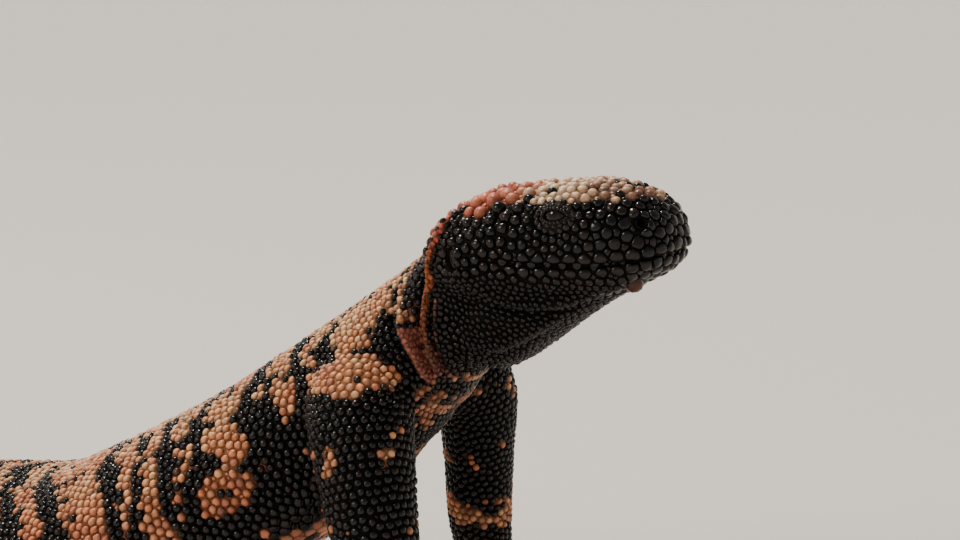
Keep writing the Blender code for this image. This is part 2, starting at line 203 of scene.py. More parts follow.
def catmull(keys, count):
    keys = np.asarray(keys, float)
    ext = np.vstack([2 * keys[0] - keys[1], keys, 2 * keys[-1] - keys[-2]])
    rows = []
    for t in np.linspace(0, len(keys) - 1, count):
        i = min(int(t), len(keys) - 2)
        f = t - i
        p0, p1, p2, p3 = ext[i : i + 4]
        rows.append(
            0.5 * (2 * p1 + (p2 - p0) * f + (2 * p0 - 5 * p1 + 4 * p2 - p3) * f**2 + (3 * p1 - p0 - 3 * p2 + p3) * f**3)
        )
    return np.array(rows)


def ring(centre, side, up, a, top, bottom, square, sides):
    t = np.linspace(0, 2 * math.pi, sides, endpoint=False)
    c, s = np.cos(t), np.sin(t)
    x = a * np.sign(c) * np.abs(c) ** (2 / square)
    y = np.where(s > 0, top, -bottom) * np.abs(s) ** (2 / square)
    return centre + x[:, None] * side + y[:, None] * up


def loft(rings):
    count, sides = len(rings), len(rings[0])
    points = np.vstack([*rings, rings[0].mean(0), rings[-1].mean(0)])
    faces = []
    for i in range(count - 1):
        for j in range(sides):
            k = (j + 1) % sides
            faces.append((i * sides + j, i * sides + k, (i + 1) * sides + k, (i + 1) * sides + j))
    first, last = count * sides, count * sides + 1
    for j in range(sides):
        k = (j + 1) % sides
        faces.append((first, k, j))
        faces.append((last, (count - 1) * sides + j, (count - 1) * sides + k))
    return points, faces


def frames_along(centres, upright):
    """Tangent, side and up of each point of a path."""
    t = units(np.gradient(centres, axis=0))
    side = units(np.cross(t, np.asarray(upright, float)))
    return t, side, np.cross(side, t)


def along(rows, sides, upright=(0, 0, 1)):
    _, side, up = frames_along(rows[:, :3], upright)
    return loft([ring(r[:3], a, b, r[3], r[4], r[4], r[5], sides) for r, a, b in zip(rows, side, up)])


def ball(centre, radii, turn=0.0, segments=20, rings=12):
    bm = bmesh.new()
    bmesh.ops.create_uvsphere(bm, u_segments=segments, v_segments=rings, radius=1.0)
    points = np.array([v.co[:] for v in bm.verts]) * np.asarray(radii, float)
    faces = [tuple(v.index for v in f.verts) for f in bm.faces]
    bm.free()
    c, s = math.cos(turn), math.sin(turn)
    points = points @ np.array([[c, -s, 0], [s, c, 0], [0, 0, 1]]).T
    return points + np.asarray(centre, float), faces


def toes_of(name):
    (cx, cy), heading, length, width, lengths = SOLES[name]
    outer = -1.0 if name.endswith("_r") else 1.0
    found = []
    for spread, reach in zip(TOE_SPREAD, lengths):
        a = math.radians(heading + outer * spread)
        way = np.array([math.sin(a), -math.cos(a), 0.0])
        h = math.radians(heading)
        ahead = np.array([math.sin(h), -math.cos(h), 0.0])
        root = np.array([cx, cy, 0.0]) + ahead * (length - 6.5) + way * 3.0
        toe = [root + way * (reach * t) + np.array([0, 0, z]) for t, z in ((0, 4.2), (0.55, 4.3), (1.0, 2.9))]
        tip = root + way * reach
        claw = [
            tip + way * (CLAW_LENGTH * t) + np.array([0, 0, z])
            for t, z in ((-0.16, 3.2), (0.2, 3.5), (0.5, 3.0), (0.78, 1.9), (1.0, 0.5))
        ]
        found.append((np.array(toe), np.array(claw)))
    return found


def toe_rows(toe):
    rows = np.column_stack([toe, TOE_RADII, TOE_RADII, [2.0] * 3])
    return np.vstack([rows, rows[-1] + [*(unit(rows[-1][:3] - rows[-2][:3]) * 1.2), -1.0, -1.0, 0]])


def flesh_pieces():
    rows = catmull(HEAD, 60)
    yield loft([ring(TIP - r[0] * AHEAD, LEFT, ABOVE, r[1], r[2], -r[3], r[4], 64) for r in rows])
    rows = catmull(THROAT, 30)
    yield loft([ring(TIP - r[0] * AHEAD + r[1] * ABOVE, LEFT, ABOVE, r[2], r[3], r[3], 2.1, 48) for r in rows])
    yield along(catmull(SPINE, 180), 72)
    for name, ((cx, cy), heading, length, width, _) in SOLES.items():
        rows = catmull(LIMBS[name], 46)
        rows = np.column_stack([rows[:, :3], rows[:, 3], rows[:, 3], np.full(len(rows), 2.0)])
        yield along(rows, 40, upright=(0.0, 1.0, 0.05))
        turn = math.radians(heading)
        yield ball((cx, cy, 4.9), (width, length, 5.6), turn, 36, 24)
        wrist = np.array(LIMBS[name][-1][:3])
        yield ball(wrist + [0, 0, -3.5], (7.4, 7.4, 6.6), turn, 32, 20)
        for toe, _ in toes_of(name):
            yield along(catmull(toe_rows(toe), 16), 24)


def mouth_height(s):
    s = np.asarray(s, float)
    return -1.7 - 0.7 * np.sin(np.pi * np.clip(s, 0, 22) / 22.0) + 0.008 * np.maximum(s - 18.0, 0.0) ** 2


def fill_mesh(name, points, faces, smooth=True):
    """A mesh from points and equal-sided faces given as an array, quickly."""
    faces = np.asarray(faces, np.int32)
    mesh = bpy.data.meshes.new(name)
    mesh.vertices.add(len(points))
    mesh.vertices.foreach_set("co", np.asarray(points, np.float32).ravel())
    mesh.loops.add(faces.size)
    mesh.loops.foreach_set("vertex_index", faces.ravel())
    mesh.polygons.add(len(faces))
    mesh.polygons.foreach_set("loop_start", np.arange(0, faces.size, faces.shape[1], dtype=np.int32))
    mesh.polygons.foreach_set("use_smooth", np.full(len(faces), smooth))
    mesh.update(calc_edges=True)
    return mesh


def shown(name, mesh, material, replaces=()):
    mesh.materials.append(material)
    piece = bpy.data.objects.new(name, mesh)
    bpy.context.scene.collection.objects.link(piece)
    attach(piece, "root")
    if replaces:
        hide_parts(*replaces)
    return piece


def noise3(points, scale, seed):
    """Smooth noise of about -1 to 1 at points, one value each."""
    offset = Vector((seed * 17.3, seed * -9.1, seed * 5.7))
    return np.array([noise.noise(Vector(p) / scale + offset) for p in points.tolist()]) * 1.6


# ------------------------------------------------------ where things are
spine_rows = catmull(SPINE, 420)
spine_t, spine_side, spine_up = frames_along(spine_rows[:, :3], (0, 0, 1))
spine_l = np.concatenate([[0], np.cumsum(np.linalg.norm(np.diff(spine_rows[:, :3], axis=0), axis=1))])
SPINE_LENGTH = spine_l[-1]
limb_rows = {name: catmull(rows, 60) for name, rows in LIMBS.items()}
limb_frames = {name: frames_along(rows[:, :3], (0.0, 1.0, 0.05)) for name, rows in limb_rows.items()}
head_table = catmull(HEAD, 240)


def nearest_on(points, path):
    """Index of the nearest path point for each point, in pieces that fit in memory."""
    found = np.empty(len(points), int)
    for start in range(0, len(points), 8000):
        p = points[start : start + 8000]
        d = ((p[:, None, :] - path[None, :, :]) ** 2).sum(2)
        found[start : start + 8000] = d.argmin(1)
    return found


class Places:
    """Body coordinates of points: which part, how far along it, and how far round it."""

    def __init__(self, points, normals):
        self.p, self.n = points, normals
        self.s, self.v, self.w = head_coords(points)
        i = nearest_on(points, spine_rows[:, :3])
        d = points - spine_rows[i, :3]
        a, b = (d * spine_side[i]).sum(1), (d * spine_up[i]).sum(1)
        self.along = spine_l[i] + (d * spine_t[i]).sum(1)
        self.round = np.arctan2(a, b)            # 0 on the back, +-pi on the belly
        wide, high = spine_rows[i, 3], spine_rows[i, 4]
        q = np.sqrt((a / wide) ** 2 + (b / high) ** 2)
        beyond = np.linalg.norm(d, axis=1) * (1 - 1 / np.maximum(q, 0.05))
        best = beyond.copy()
        self.part = np.zeros(len(points), int)   # 0 trunk and tail, 1 head, 2-5 limbs, 6-9 hands and feet
        # the head: the skin of its own loft, where it is clear of the neck
        a_at = np.interp(self.s, head_table[:, 0], head_table[:, 1])
        t_at = np.interp(self.s, head_table[:, 0], head_table[:, 2])
        l_at = np.interp(self.s, head_table[:, 0], -head_table[:, 3]) + 9.0 * step(self.s, 12, 42) * (self.s < 58)
        tall = np.where(self.w > 0, t_at, l_at)
        q = np.sqrt((self.v / a_at) ** 2 + (self.w / tall) ** 2)
        out = np.hypot(self.v, self.w) * (1 - 1 / np.maximum(q, 0.05))
        behind = 61.0 + 0.41 * (self.w - 16.0)
        head = (self.s < behind) & (out < 7.0) & (self.s > -6)
        self.part[head] = 1
        best[head] = -99.0
        self.limb_l = np.zeros(len(points))
        # how steeply the plain skin runs across the folds of the neck
        self.slope = np.ones(len(points))
        for i in np.nonzero((self.s > 38) & (self.s < 78) & (self.w > -36) & (self.w < 14))[0]:
            self.slope[i] = PLAIN_SLOPE[PLAIN.find(points[i].tolist())[1]]
        self.limb_a = np.zeros(len(points))
        self.join = np.full(len(points), 99.0)
        for k, (name, rows) in enumerate(limb_rows.items()):
            i = nearest_on(points, rows[:, :3])
            d = points - rows[i, :3]
            t, side, up = limb_frames[name]
            far = np.linalg.norm(d, axis=1) - rows[i, 3]
            length = np.concatenate([[0], np.cumsum(np.linalg.norm(np.diff(rows[:, :3], axis=0), axis=1))])
            beside = (best < 4.0) & (i > 12) & (far < 4.0) & (self.part == 0)
            self.join[beside] = np.minimum(self.join, np.abs(far - best))[beside]
            mine = (far < best) & (i > 8)
            best[mine] = far[mine]
            self.part[mine] = 2 + k
            self.limb_l[mine] = length[i[mine]]
            self.limb_a[mine] = np.arctan2((d[mine] * side[i[mine]]).sum(1), (d[mine] * up[i[mine]]).sum(1))
            (cx, cy), heading, long, wide, _ = SOLES[name]
            ankle = rows[-1, :3]
            low = (points[:, 2] < 9.5 + (1.0 if k > 1 else 0.0)) & (
                np.hypot(points[:, 0] - cx, points[:, 1] - cy) < 34
            ) & ((self.part == 2 + k) | (best > 0.6))
            near = np.abs(points[:, 0] - cx) < 32
            low &= near & ((points[:, 0] > 0) == (cx > 0)) & (np.abs(points[:, 0]) > 22)
            self.part[low] = 6 + k
            best[low] = np.minimum(best[low], -50.0)


def scale_sizes(at):
    """Pitch, height and fullness (2 a round dome, more a flat plate) of the scales at places."""
    count = len(at.p)
    nz = at.n[:, 2]
    pitch, high, full = np.full(count, 2.3), np.full(count, 0.8), np.full(count, 2.3)
    # trunk and tail
    body = at.part == 0
    under = step(np.abs(at.round), 1.75, 2.35)
    tail = step(at.along, 205, 235)
    thin = step(at.along, 300, 352)
    p = mix(mix(1.8, 2.2, step(at.along, 24, 75)), 2.7, tail)
    h = mix(mix(0.72, 0.88, step(at.along, 24, 75)), 1.0, tail)
    p = mix(p, mix(1.75, 2.9, step(at.along, 40, 80)), under)
    h = mix(h, mix(0.5, 0.3, step(at.along, 40, 80)), under)
    p, h = mix(p, 1.9, thin), mix(h, 0.7, thin)
    pitch[body], high[body] = p[body], h[body]
    full[body] = mix(2.3, 5.0, under * step(at.along, 40, 80))[body]
    # head
    head = at.part == 1
    top = step(at.w, 5.5, 10.5)
    back = step(at.s, 21, 33)
    jaw = step(mouth_height(np.minimum(at.s, 34)) - at.w, 1.6, 5.0)
    side = mix(mix(2.75, 2.2, step(at.s, 8, 17)), 2.5, back)
    p = mix(side, mix(2.4, 3.5, back), top)
    p = mix(p, mix(2.1, 1.36, step(at.s, 9, 20)), jaw)
    h = mix(mix(0.6, 1.0, back), mix(1.2, 1.9, back), top)
    h = mix(h, mix(0.6, 0.55, step(at.s, 9, 20)), jaw)
    f = mix(mix(mix(3.4, 2.5, step(at.s, 8, 17)), 2.3, back), mix(2.4, 2.1, back), top)
    pitch[head], high[head], full[head] = p[head], h[head], mix(f, 2.2, jaw)[head]
    eye = np.minimum(
        np.linalg.norm(at.p - head_point(EYE_AT, EYE_OUT + 2, EYE_UP), axis=1),
        np.linalg.norm(at.p - head_point(EYE_AT, -EYE_OUT - 2, EYE_UP), axis=1),
    )
    near = head * step(eye, 9.0, 5.0)
    pitch, high = mix(pitch, 1.7, near), mix(high, 0.55, near)
    # the folds behind the head carry small scales
    fold = fold_weight(at)
    pitch, high, full = mix(pitch, 1.15, fold), mix(high, 0.24, fold), mix(full, 3.2, fold)
    # limbs
    limb = (at.part >= 2) & (at.part < 6)
    outer = step(at.n[:, 2] + 0.55 * np.abs(at.n[:, 0]), -0.35, 0.45)
    p, h = mix(1.65, 2.05, outer), mix(0.42, 0.75, outer)
    shoulder = step(at.limb_l, 34, 14)
    p, h = mix(p, 1.95, shoulder * 0.7), mix(h, 0.78, shoulder * 0.7)
    pitch[limb], high[limb], full[limb] = p[limb], h[limb], 2.3
    foot = at.part >= 6
    sole = step(nz, -0.2, -0.7)
    pitch[foot] = mix(1.6, 1.5, sole)[foot]
    high[foot] = mix(0.5, 0.3, sole)[foot]
    full[foot] = mix(2.4, 3.5, sole)[foot]
    return pitch, high, full


# ----------------------------------------------------- folds of the neck
# each fold: head coordinates of points down one side, the ridge's height and half width, how deep the groove behind it
FOLDS = (
    (((45.5, 12.0), (47.5, 7.5), (50.6, 2.1), (53.1, -2.1), (54.3, -8.8), (54.9, -14.3), (54.9, -20.1), (54.4, -27.0)), 1.35, 0.95, 1.9),
    (((62.5, -8.0), (60.9, -14.1), (59.4, -17.5), (57.6, -21.5), (56.6, -26.1), (55.9, -28.5)), 0.9, 1.2, 1.5),
)
# rows that stand out along the jaw and the throat: head coordinates, height, depth of the groove below
LEDGES = (
    (((8.0, -6.6), (10.7, -7.4), (17.9, -9.5), (23.5, -10.6), (28.9, -10.5), (35.0, -8.9), (39.0, -6.4)), 1.15, 1.5),
    (((23.0, -13.2), (25.6, -14.4), (28.8, -15.9), (34.8, -18.6), (40.0, -20.4)), 1.2, 1.6),
)


def fold_offset(at, k):
    """Signed distance behind fold k, on the skin across it."""
    line = np.array(FOLDS[k][0])[::-1]
    return (at.s - np.interp(at.w, line[:, 1], line[:, 0])) / at.slope


def fold_reach(at, k):
    """How strongly fold k is there at all: it fades at its ends and on the nape."""
    line = np.array(FOLDS[k][0])
    reach = step(at.w, line[-1, 1] - 3.5, line[-1, 1] + 3.0) * step(at.w, line[0, 1] + 1.0, line[0, 1] - 5.0)
    reach = reach * np.maximum(step(np.abs(at.v), 7.0, 12.5), step(at.w, -9.0, -4.0))
    return reach * ((at.part < 2) & (at.s > 30) & (at.s < 76))


def fold_weight(at):
    weight = np.zeros(len(at.p))
    for k in range(len(FOLDS)):
        here = np.exp(-((fold_offset(at, k) + (0.8 if k == 0 else 0.0)) / 3.4) ** 4) * fold_reach(at, k)
        weight = np.maximum(weight, here * (step(at.w, -12.5, -15.0) if k else 1.0))
    return weight


def fold_ridge(at, k):
    """How far up the ridge of fold k a place is, 0 to 1; the first fold has a second, lower strand before it."""
    t = fold_offset(at, k)
    up = np.exp(-((t / FOLDS[k][2]) ** 2))
    if k == 0:
        up = np.maximum(up, 0.64 * np.exp(-(((t + 2.4) / 0.5) ** 2)) * step(at.w, -6.0, -10.0) * step(at.w, -25.0, -21.0))
    return up * fold_reach(at, k)


# ------------------------------------------------------------- the skin
def make_skin():
    points, faces, start = [], [], 0
    for p, f in flesh_pieces():
        points.append(p)
        faces += [tuple(i + start for i in face) for face in f]
        start += len(p)
    mesh = bpy.data.meshes.new("raw")
    mesh.from_pydata(np.vstack(points).tolist(), [], faces)
    bm = bmesh.new()
    bm.from_mesh(mesh)
    bmesh.ops.recalc_face_normals(bm, faces=bm.faces)
    bm.to_mesh(mesh)
    bm.free()
    raw = bpy.data.objects.new("raw", mesh)
    bpy.context.scene.collection.objects.link(raw)
    join = raw.modifiers.new("join", "REMESH")
    join.mode = "VOXEL"
    join.voxel_size = VOXEL
    even = raw.modifiers.new("even", "SMOOTH")
    even.factor = 0.5
    even.iterations = 7
    graph = bpy.context.evaluated_depsgraph_get()
    whole = bpy.data.meshes.new_from_object(raw.evaluated_get(graph))
    bpy.data.objects.remove(raw, do_unlink=True)
    # finer faces on the face and along the neck folds, and finer again round the openings
    bm = bmesh.new()
    bm.from_mesh(whole)

    def face_or_fold(co):
        s, v, w = head_coords(co)
        found = (s < 37) & (s > -9) & (np.abs(v) < 26) & (w > -22) & (w < 19)
        for line, _, _, _ in FOLDS:
            line = np.array(line)[::-1]
            t = s - np.interp(w, line[:, 1], line[:, 0])
            found |= (np.abs(t) < 5.5) & (w > line[0, 1] - 4) & (w < line[-1, 1] + 2) & (np.abs(v) < 30)
        return found

    def openings(co):
        found = np.zeros(len(co), bool)
        for side in (-1, 1):
            found |= np.linalg.norm(co - head_point(NOSTRIL_AT, side * NOSTRIL_OUT, NOSTRIL_UP), axis=1) < 3.4
            found |= np.linalg.norm(co - head_point(EAR_AT, side * EAR_OUT, EAR_UP), axis=1) < 5.2
        return found

    for near, turns in ((face_or_fold, 2), (openings, 1)):
        bm.faces.ensure_lookup_table()
        bm.edges.index_update()
        fine = near(np.array([f.calc_center_median()[:] for f in bm.faces]))
        edges = {e for i in np.nonzero(fine)[0] for e in bm.faces[int(i)].edges}
        bmesh.ops.subdivide_edges(bm, edges=sorted(edges, key=lambda e: e.index), cuts=1, use_grid_fill=True)
        keep = near(np.array([x.co[:] for x in bm.verts]))
        chosen = [x for x, k in zip(bm.verts, keep) if k]
        for _ in range(turns):
            bmesh.ops.smooth_vert(bm, verts=chosen, factor=0.5, use_axis_x=True, use_axis_y=True, use_axis_z=True)
    bmesh.ops.triangulate(bm, faces=[f for f in bm.faces if len(f.verts) > 4])
    bm.to_mesh(whole)
    bm.free()
    # the tail's tip, rounded off
    points, _ = read_points(whole)
    i = nearest_on(points, spine_rows[:, :3])
    ahead = ((points - spine_rows[i, :3]) * spine_t[i]).sum(1)
    core = spine_rows[i, :3] + ahead[:, None] * spine_t[i]
    t = np.clip((spine_l[i] + ahead - (SPINE_LENGTH - 6.5)) / 7.2, 0.0, 1.0)
    put_points(whole, core + (points - core) * np.sqrt(1.0 - t * t)[:, None])
    return whole


def read_points(mesh):
    co = np.empty(len(mesh.vertices) * 3, np.float32)
    mesh.vertices.foreach_get("co", co)
    mesh.update()
    no = np.empty(len(mesh.vertices) * 3, np.float32)
    mesh.vertex_normals.foreach_get("vector", no)
    return co.reshape(-1, 3).astype(float), no.reshape(-1, 3).astype(float)


def put_points(mesh, points):
    mesh.vertices.foreach_set("co", points.astype(np.float32).ravel())
    mesh.update()


def nostril_points():
    return NOSTRILS


def shape_skin(mesh):
    """Sinks the skin by the scales' height, and gives it its folds and openings."""
    points, normals = read_points(mesh)
    at = Places(points, normals)
    _, high, _ = scale_sizes(at)
    sink = high * 0.92
    # neck folds: thin ridges between grooves, the one behind the deepest
    for k, (_, tall, wide, deep) in enumerate(FOLDS):
        t, reach = fold_offset(at, k), fold_reach(at, k)
        sink -= tall * fold_ridge(at, k)
        sink += deep * np.exp(-(((t - wide - 1.0) / 0.95) ** 2)) * reach
        sink += 0.9 * np.exp(-(((t + wide + 0.75) / 0.7) ** 2)) * reach
        sink += 0.5 * np.exp(-(((t + 4.5) / 1.0) ** 2)) * reach
        sink -= 0.5 * np.exp(-(((t - 5.2) / 1.7) ** 2)) * reach
    head = at.part == 1
    half = np.interp(at.s, head_table[:, 0], head_table[:, 1])
    beside = step(np.abs(at.v), 0.30 * half, 0.60 * half) * (at.part < 2)
    for line, tall, deep in LEDGES:
        line = np.array(line)
        t = at.w - np.interp(at.s, line[:, 0], line[:, 1])
        reach = beside * step(at.s, line[0, 0] - 3, line[0, 0] + 3) * step(at.s, line[-1, 0] + 3, line[-1, 0] - 3)
        sink -= tall * np.exp(-((t / 1.15) ** 2)) * reach
        sink += deep * np.exp(-(((t + 2.5) / 1.15) ** 2)) * reach
    # the mouth: a fine groove, deeper at its corner
    t = np.abs(at.w - mouth_height(at.s))
    line = head * step(at.s, MOUTH_CORNER + 1.5, MOUTH_CORNER - 2.0)
    sink += mix(0.45, 1.1, step(at.s, 2.5, 8.0)) * np.exp(-((t / 0.65) ** 2)) * line
    sink -= 0.25 * np.exp(-(((at.w - mouth_height(at.s) - 1.6) / 1.3) ** 2)) * line
    # eye: a bowl behind the lids, with a brow above it
    for side in (-1, 1):
        x, y = at.s - EYE_AT, at.w - EYE_UP
        here = head * (at.v * side > 5)
        q = np.sqrt((x / 3.9) ** 2 + (y / 3.4) ** 2)
        sink += 3.4 * step(q, 1.12, 0.45) * here
        brow = np.exp(-((x / 6.0) ** 2)) * np.exp(-(((y - 4.7) / 1.6) ** 2))
        sink -= 0.75 * brow * here
        under = np.exp(-((x / 4.5) ** 2)) * np.exp(-(((y + 4.6) / 1.2) ** 2))
        sink += 0.35 * under * here
        # ear: an upright oval pit
        q = np.sqrt(((at.s - EAR_AT) / 1.6) ** 2 + ((at.w - EAR_UP) / 2.6) ** 2)
        sink += 2.3 * step(q, 1.15, 0.6) * here
        sink -= 0.35 * np.exp(-(((q - 1.45) / 0.3) ** 2)) * here
    # nostril: a round pit that opens sideways and a little back, in a low rim
    for spot in nostril_points():
        d = np.linalg.norm(points - spot, axis=1)
        sink += 2.3 * step(d, 1.35, 0.5) * head
        sink -= 0.45 * np.exp(-(((d - 2.1) / 0.6) ** 2)) * head
    # slack skin: soft folds low on the flanks, creases round elbows and knees
    body = at.part == 0
    low = step(np.abs(at.round), 1.2, 1.9) * body * step(at.along, 60, 95) * step(at.along, 215, 185)
    wave = noise3(points, 11.0, 3)
    sink += 0.55 * low * np.abs(wave) * 1.4
    ripple = np.sin(at.along / 1.9 + 1.6 * wave) * step(at.along, 62, 34) * step(np.abs(at.round), 1.3, 2.2) * body
    sink += 0.35 * ripple
    # creases where the shoulders and hips join the trunk
    sink += 0.75 * np.exp(-((at.join / 1.1) ** 2)) * step(points[:, 2], 10, 16)
    # the toes stand apart: the web between two of them lies deep
    for k, name in enumerate(SOLES):
        mine = np.nonzero((at.part == 6 + k) & (normals[:, 2] > -0.5))[0]
        away, beyond = [], []
        for toe, _ in toes_of(name):
            root, tip = toe[0], toe[-1]
            way = tip - root
            d = points[mine] - root
            t = np.clip((d @ way) / (way @ way), 0.0, 1.0)
            away.append(np.linalg.norm((d - t[:, None] * way)[:, :2], axis=1))
            beyond.append((d @ way) / np.linalg.norm(way))
        away, beyond = np.array(away), np.array(beyond)
        order = np.argsort(away, axis=0)
        each = np.arange(len(mine))
        gap = away[order[1], each] - away[order[0], each]
        sink[mine] += 1.7 * np.exp(-((gap / 1.5) ** 2)) * step(beyond[order[0], each], 1.0, 5.0)
    points = points - normals * sink[:, None]
    points[:, 2] = np.maximum(points[:, 2], FLOOR_SKIN)
    put_points(mesh, points)
    return at


def skin_tree(mesh):
    points, normals = read_points(mesh)
    faces = [tuple(p.vertices) for p in mesh.polygons]
    tree = BVHTree.FromPolygons(points.tolist(), faces)
    length = max(len(f) for f in faces)
    corners = np.array([f + (f[-1],) * (length - len(f)) for f in faces])
    return tree, points, normals, corners


def onto_skin(places, with_normals=True):
    """Nearest points of the skin and its smooth normals there."""
    hit = np.empty((len(places), 3))
    index = np.empty(len(places), int)
    find = TREE.find_nearest
    for i, p in enumerate(places.tolist()):
        at, _, face, _ = find(p)
        hit[i] = at
        index[i] = face
    if not with_normals:
        return hit
    c = CORNERS[index]
    near = SKIN_POINTS[c] - hit[:, None, :]
    weight = 1.0 / (np.linalg.norm(near, axis=2) + 0.15)
    return hit, units((SKIN_NORMALS[c] * weight[:, :, None]).sum(1))


skin_mesh = make_skin()
plain_points, plain_normals = read_points(skin_mesh)
PLAIN_SLOPE = np.sqrt(np.clip(1.0 - (plain_normals @ AHEAD) ** 2, 0.12, 1.0))
PLAIN = KDTree(len(plain_points))
for i, p in enumerate(plain_points.tolist()):
    PLAIN.insert(p, i)
PLAIN.balance()
NOSTRILS = []
for side in (-1, 1):
    away = np.linalg.norm(plain_points - head_point(NOSTRIL_AT, side * NOSTRIL_OUT, NOSTRIL_UP), axis=1)
    NOSTRILS.append(plain_points[away.argmin()])
shape_skin(skin_mesh)
TREE, SKIN_POINTS, SKIN_NORMALS, CORNERS = skin_tree(skin_mesh)
print("skin", len(skin_mesh.vertices), "points")


# ------------------------------------------------- where each scale grows
def rows_along(rows, frame_of, pitch_at, start, end, upright=None):
    """Staggered rows of seeds round a loft, from start to end along it."""
    t, side, up = frame_of
    length = np.concatenate([[0], np.cumsum(np.linalg.norm(np.diff(rows[:, :3], axis=0), axis=1))])
    found, at, odd = [], start, 0
    while at < end:
        pitch = pitch_at(at)
        row = np.array([np.interp(at, length, rows[:, k]) for k in range(rows.shape[1])])
        i = int(np.searchsorted(length, at))
        i = min(i, len(rows) - 1)
        wide, high = row[3], row[4] if rows.shape[1] > 4 else row[3]
        around = math.pi * (3 * (wide + high) - math.sqrt((3 * wide + high) * (wide + 3 * high)))
        count = max(int(round(around / pitch)), 6)
        fine = np.linspace(0, 2 * math.pi, 361)
        ring_line = np.column_stack([wide * np.sin(fine), high * np.cos(fine)])
        walked = np.concatenate([[0], np.cumsum(np.linalg.norm(np.diff(ring_line, axis=0), axis=1))])
        stops = (np.arange(count) + 0.5 * (odd % 2)) / count * walked[-1]
        x, y = np.interp(stops, walked, ring_line[:, 0]), np.interp(stops, walked, ring_line[:, 1])
        found.append(row[:3] + x[:, None] * side[i] + y[:, None] * up[i] + random.normal(0, 0.13 * pitch, (count, 3)))
        at += pitch * 0.87
        odd += 1
    return np.vstack(found)


def frozen_seeds():
    """Shields with a place of their own: lips, rostral, mental and chin shields. Columns: x, y, z, pitch, height, fullness, rank."""
    found = []

    def lip(offset, pitch, high, rank, first, last, count):
        s = np.linspace(-1.0, last, 400)
        a = np.interp(np.maximum(s, 0), head_table[:, 0], head_table[:, 1]) * 0.985
        path_s = np.concatenate([np.zeros(40), s[s > 0]])
        path_v = np.concatenate([np.linspace(0, a[s > 0][0], 40), a[s > 0]])
        walked = np.concatenate([[0], np.cumsum(np.hypot(np.diff(path_s), np.diff(path_v)))])
        stops = first + (walked[-1] - first) * (np.arange(count) / (count - 1)) ** 0.98
        for side in (-1, 1):
            for k, stop in enumerate(stops):
                si, vi = np.interp(stop, walked, path_s), np.interp(stop, walked, path_v)
                fade = 1.0 - 0.25 * (k / count) ** 2
                found.append([*head_point(si, side * vi, float(mouth_height(si)) + offset * fade), pitch * fade, high, 3.2, rank])

    lip(1.55, 2.95, 0.62, 1, 3.0, 33.0, 13)
    lip(-1.5, 2.85, 0.6, 2, 3.3, 33.0, 13)
    found.append([*head_point(-0.4, 0, float(mouth_height(0.0)) + 1.7), 3.6, 0.7, 3.2, 1])
    found.append([*head_point(0.3, 0, float(mouth_height(0.0)) - 1.4), 3.0, 0.62, 3.2, 2])
    for s, v, size in ((4.0, 1.7, 3.1), (7.2, 2.0, 3.1), (10.4, 2.2, 2.9), (13.4, 1.7, 2.5), (6.0, 5.0, 2.7), (9.4, 5.6, 2.6)):
        for side in (-1, 1):
            if side > 0 or s not in (6.0, 9.4):
                found.append([*head_point(s, side * v, -9.5), size, 0.62, 2.9, 0])
    found.append([*head_point(7.7, -5.9, -8.6), 4.9, 2.5, 2.1, 0])
    # scales round each nostril
    for k, side in ((0, -1), (1, 1)):
        spot = nostril_points()[k]
        for a in np.linspace(0, 2 * math.pi, 6, endpoint=False):
            found.append([*(spot - AHEAD * 2.75 * math.cos(a) + ABOVE * 2.6 * math.sin(a)), 2.55, 0.6, 3.0, 0])
    return np.array(found)


def ghost_seeds():
    """Openings, which hold no scale: columns x, y, z, radius."""
    found = []
    for side in (-1, 1):
        for ds, dw in ((-1.6, 0.0), (1.6, 0.0), (0, 0.6), (0, -0.6)):
            found.append([*head_point(EYE_AT + ds, side * (EYE_OUT + 2.3), EYE_UP + dw), 3.0])
        for dw in (-1.1, 0.0, 1.1):
            found.append([*head_point(EAR_AT, side * EAR_OUT, EAR_UP + dw), 1.35])
    for spot in nostril_points():
        found.append([*spot, 1.25])
    return np.array(found)


def scatter(points, at_pitch, taken, taken_pitch, ease=0.86):
    """Takes candidates in turn where they are clear of those taken before."""
    cell = 3.6
    grid = {}
    taken = [tuple(t) for t in taken]
    pitches = list(taken_pitch)
    for i, p in enumerate(taken):
        grid.setdefault((int(p[0] // cell), int(p[1] // cell), int(p[2] // cell)), []).append(i)
    base = len(taken)
    for p, pitch in zip(points.tolist(), at_pitch.tolist()):
        x, y, z = (int(c // cell) for c in p)
        clear = True
        for dx in (-1, 0, 1):
            for dy in (-1, 0, 1):
                for dz in (-1, 0, 1):
                    for j in grid.get((x + dx, y + dy, z + dz), ()):
                        q = taken[j]
                        need = (pitch + pitches[j]) * 0.5 * ease
                        if (p[0] - q[0]) ** 2 + (p[1] - q[1]) ** 2 + (p[2] - q[2]) ** 2 < need * need:
                            clear = False
                            break
                    if not clear:
                        break
                if not clear:
                    break
            if not clear:
                break
        if clear:
            grid.setdefault((x, y, z), []).append(len(taken))
            taken.append(tuple(p))
            pitches.append(pitch)
    return np.array(taken[base:])


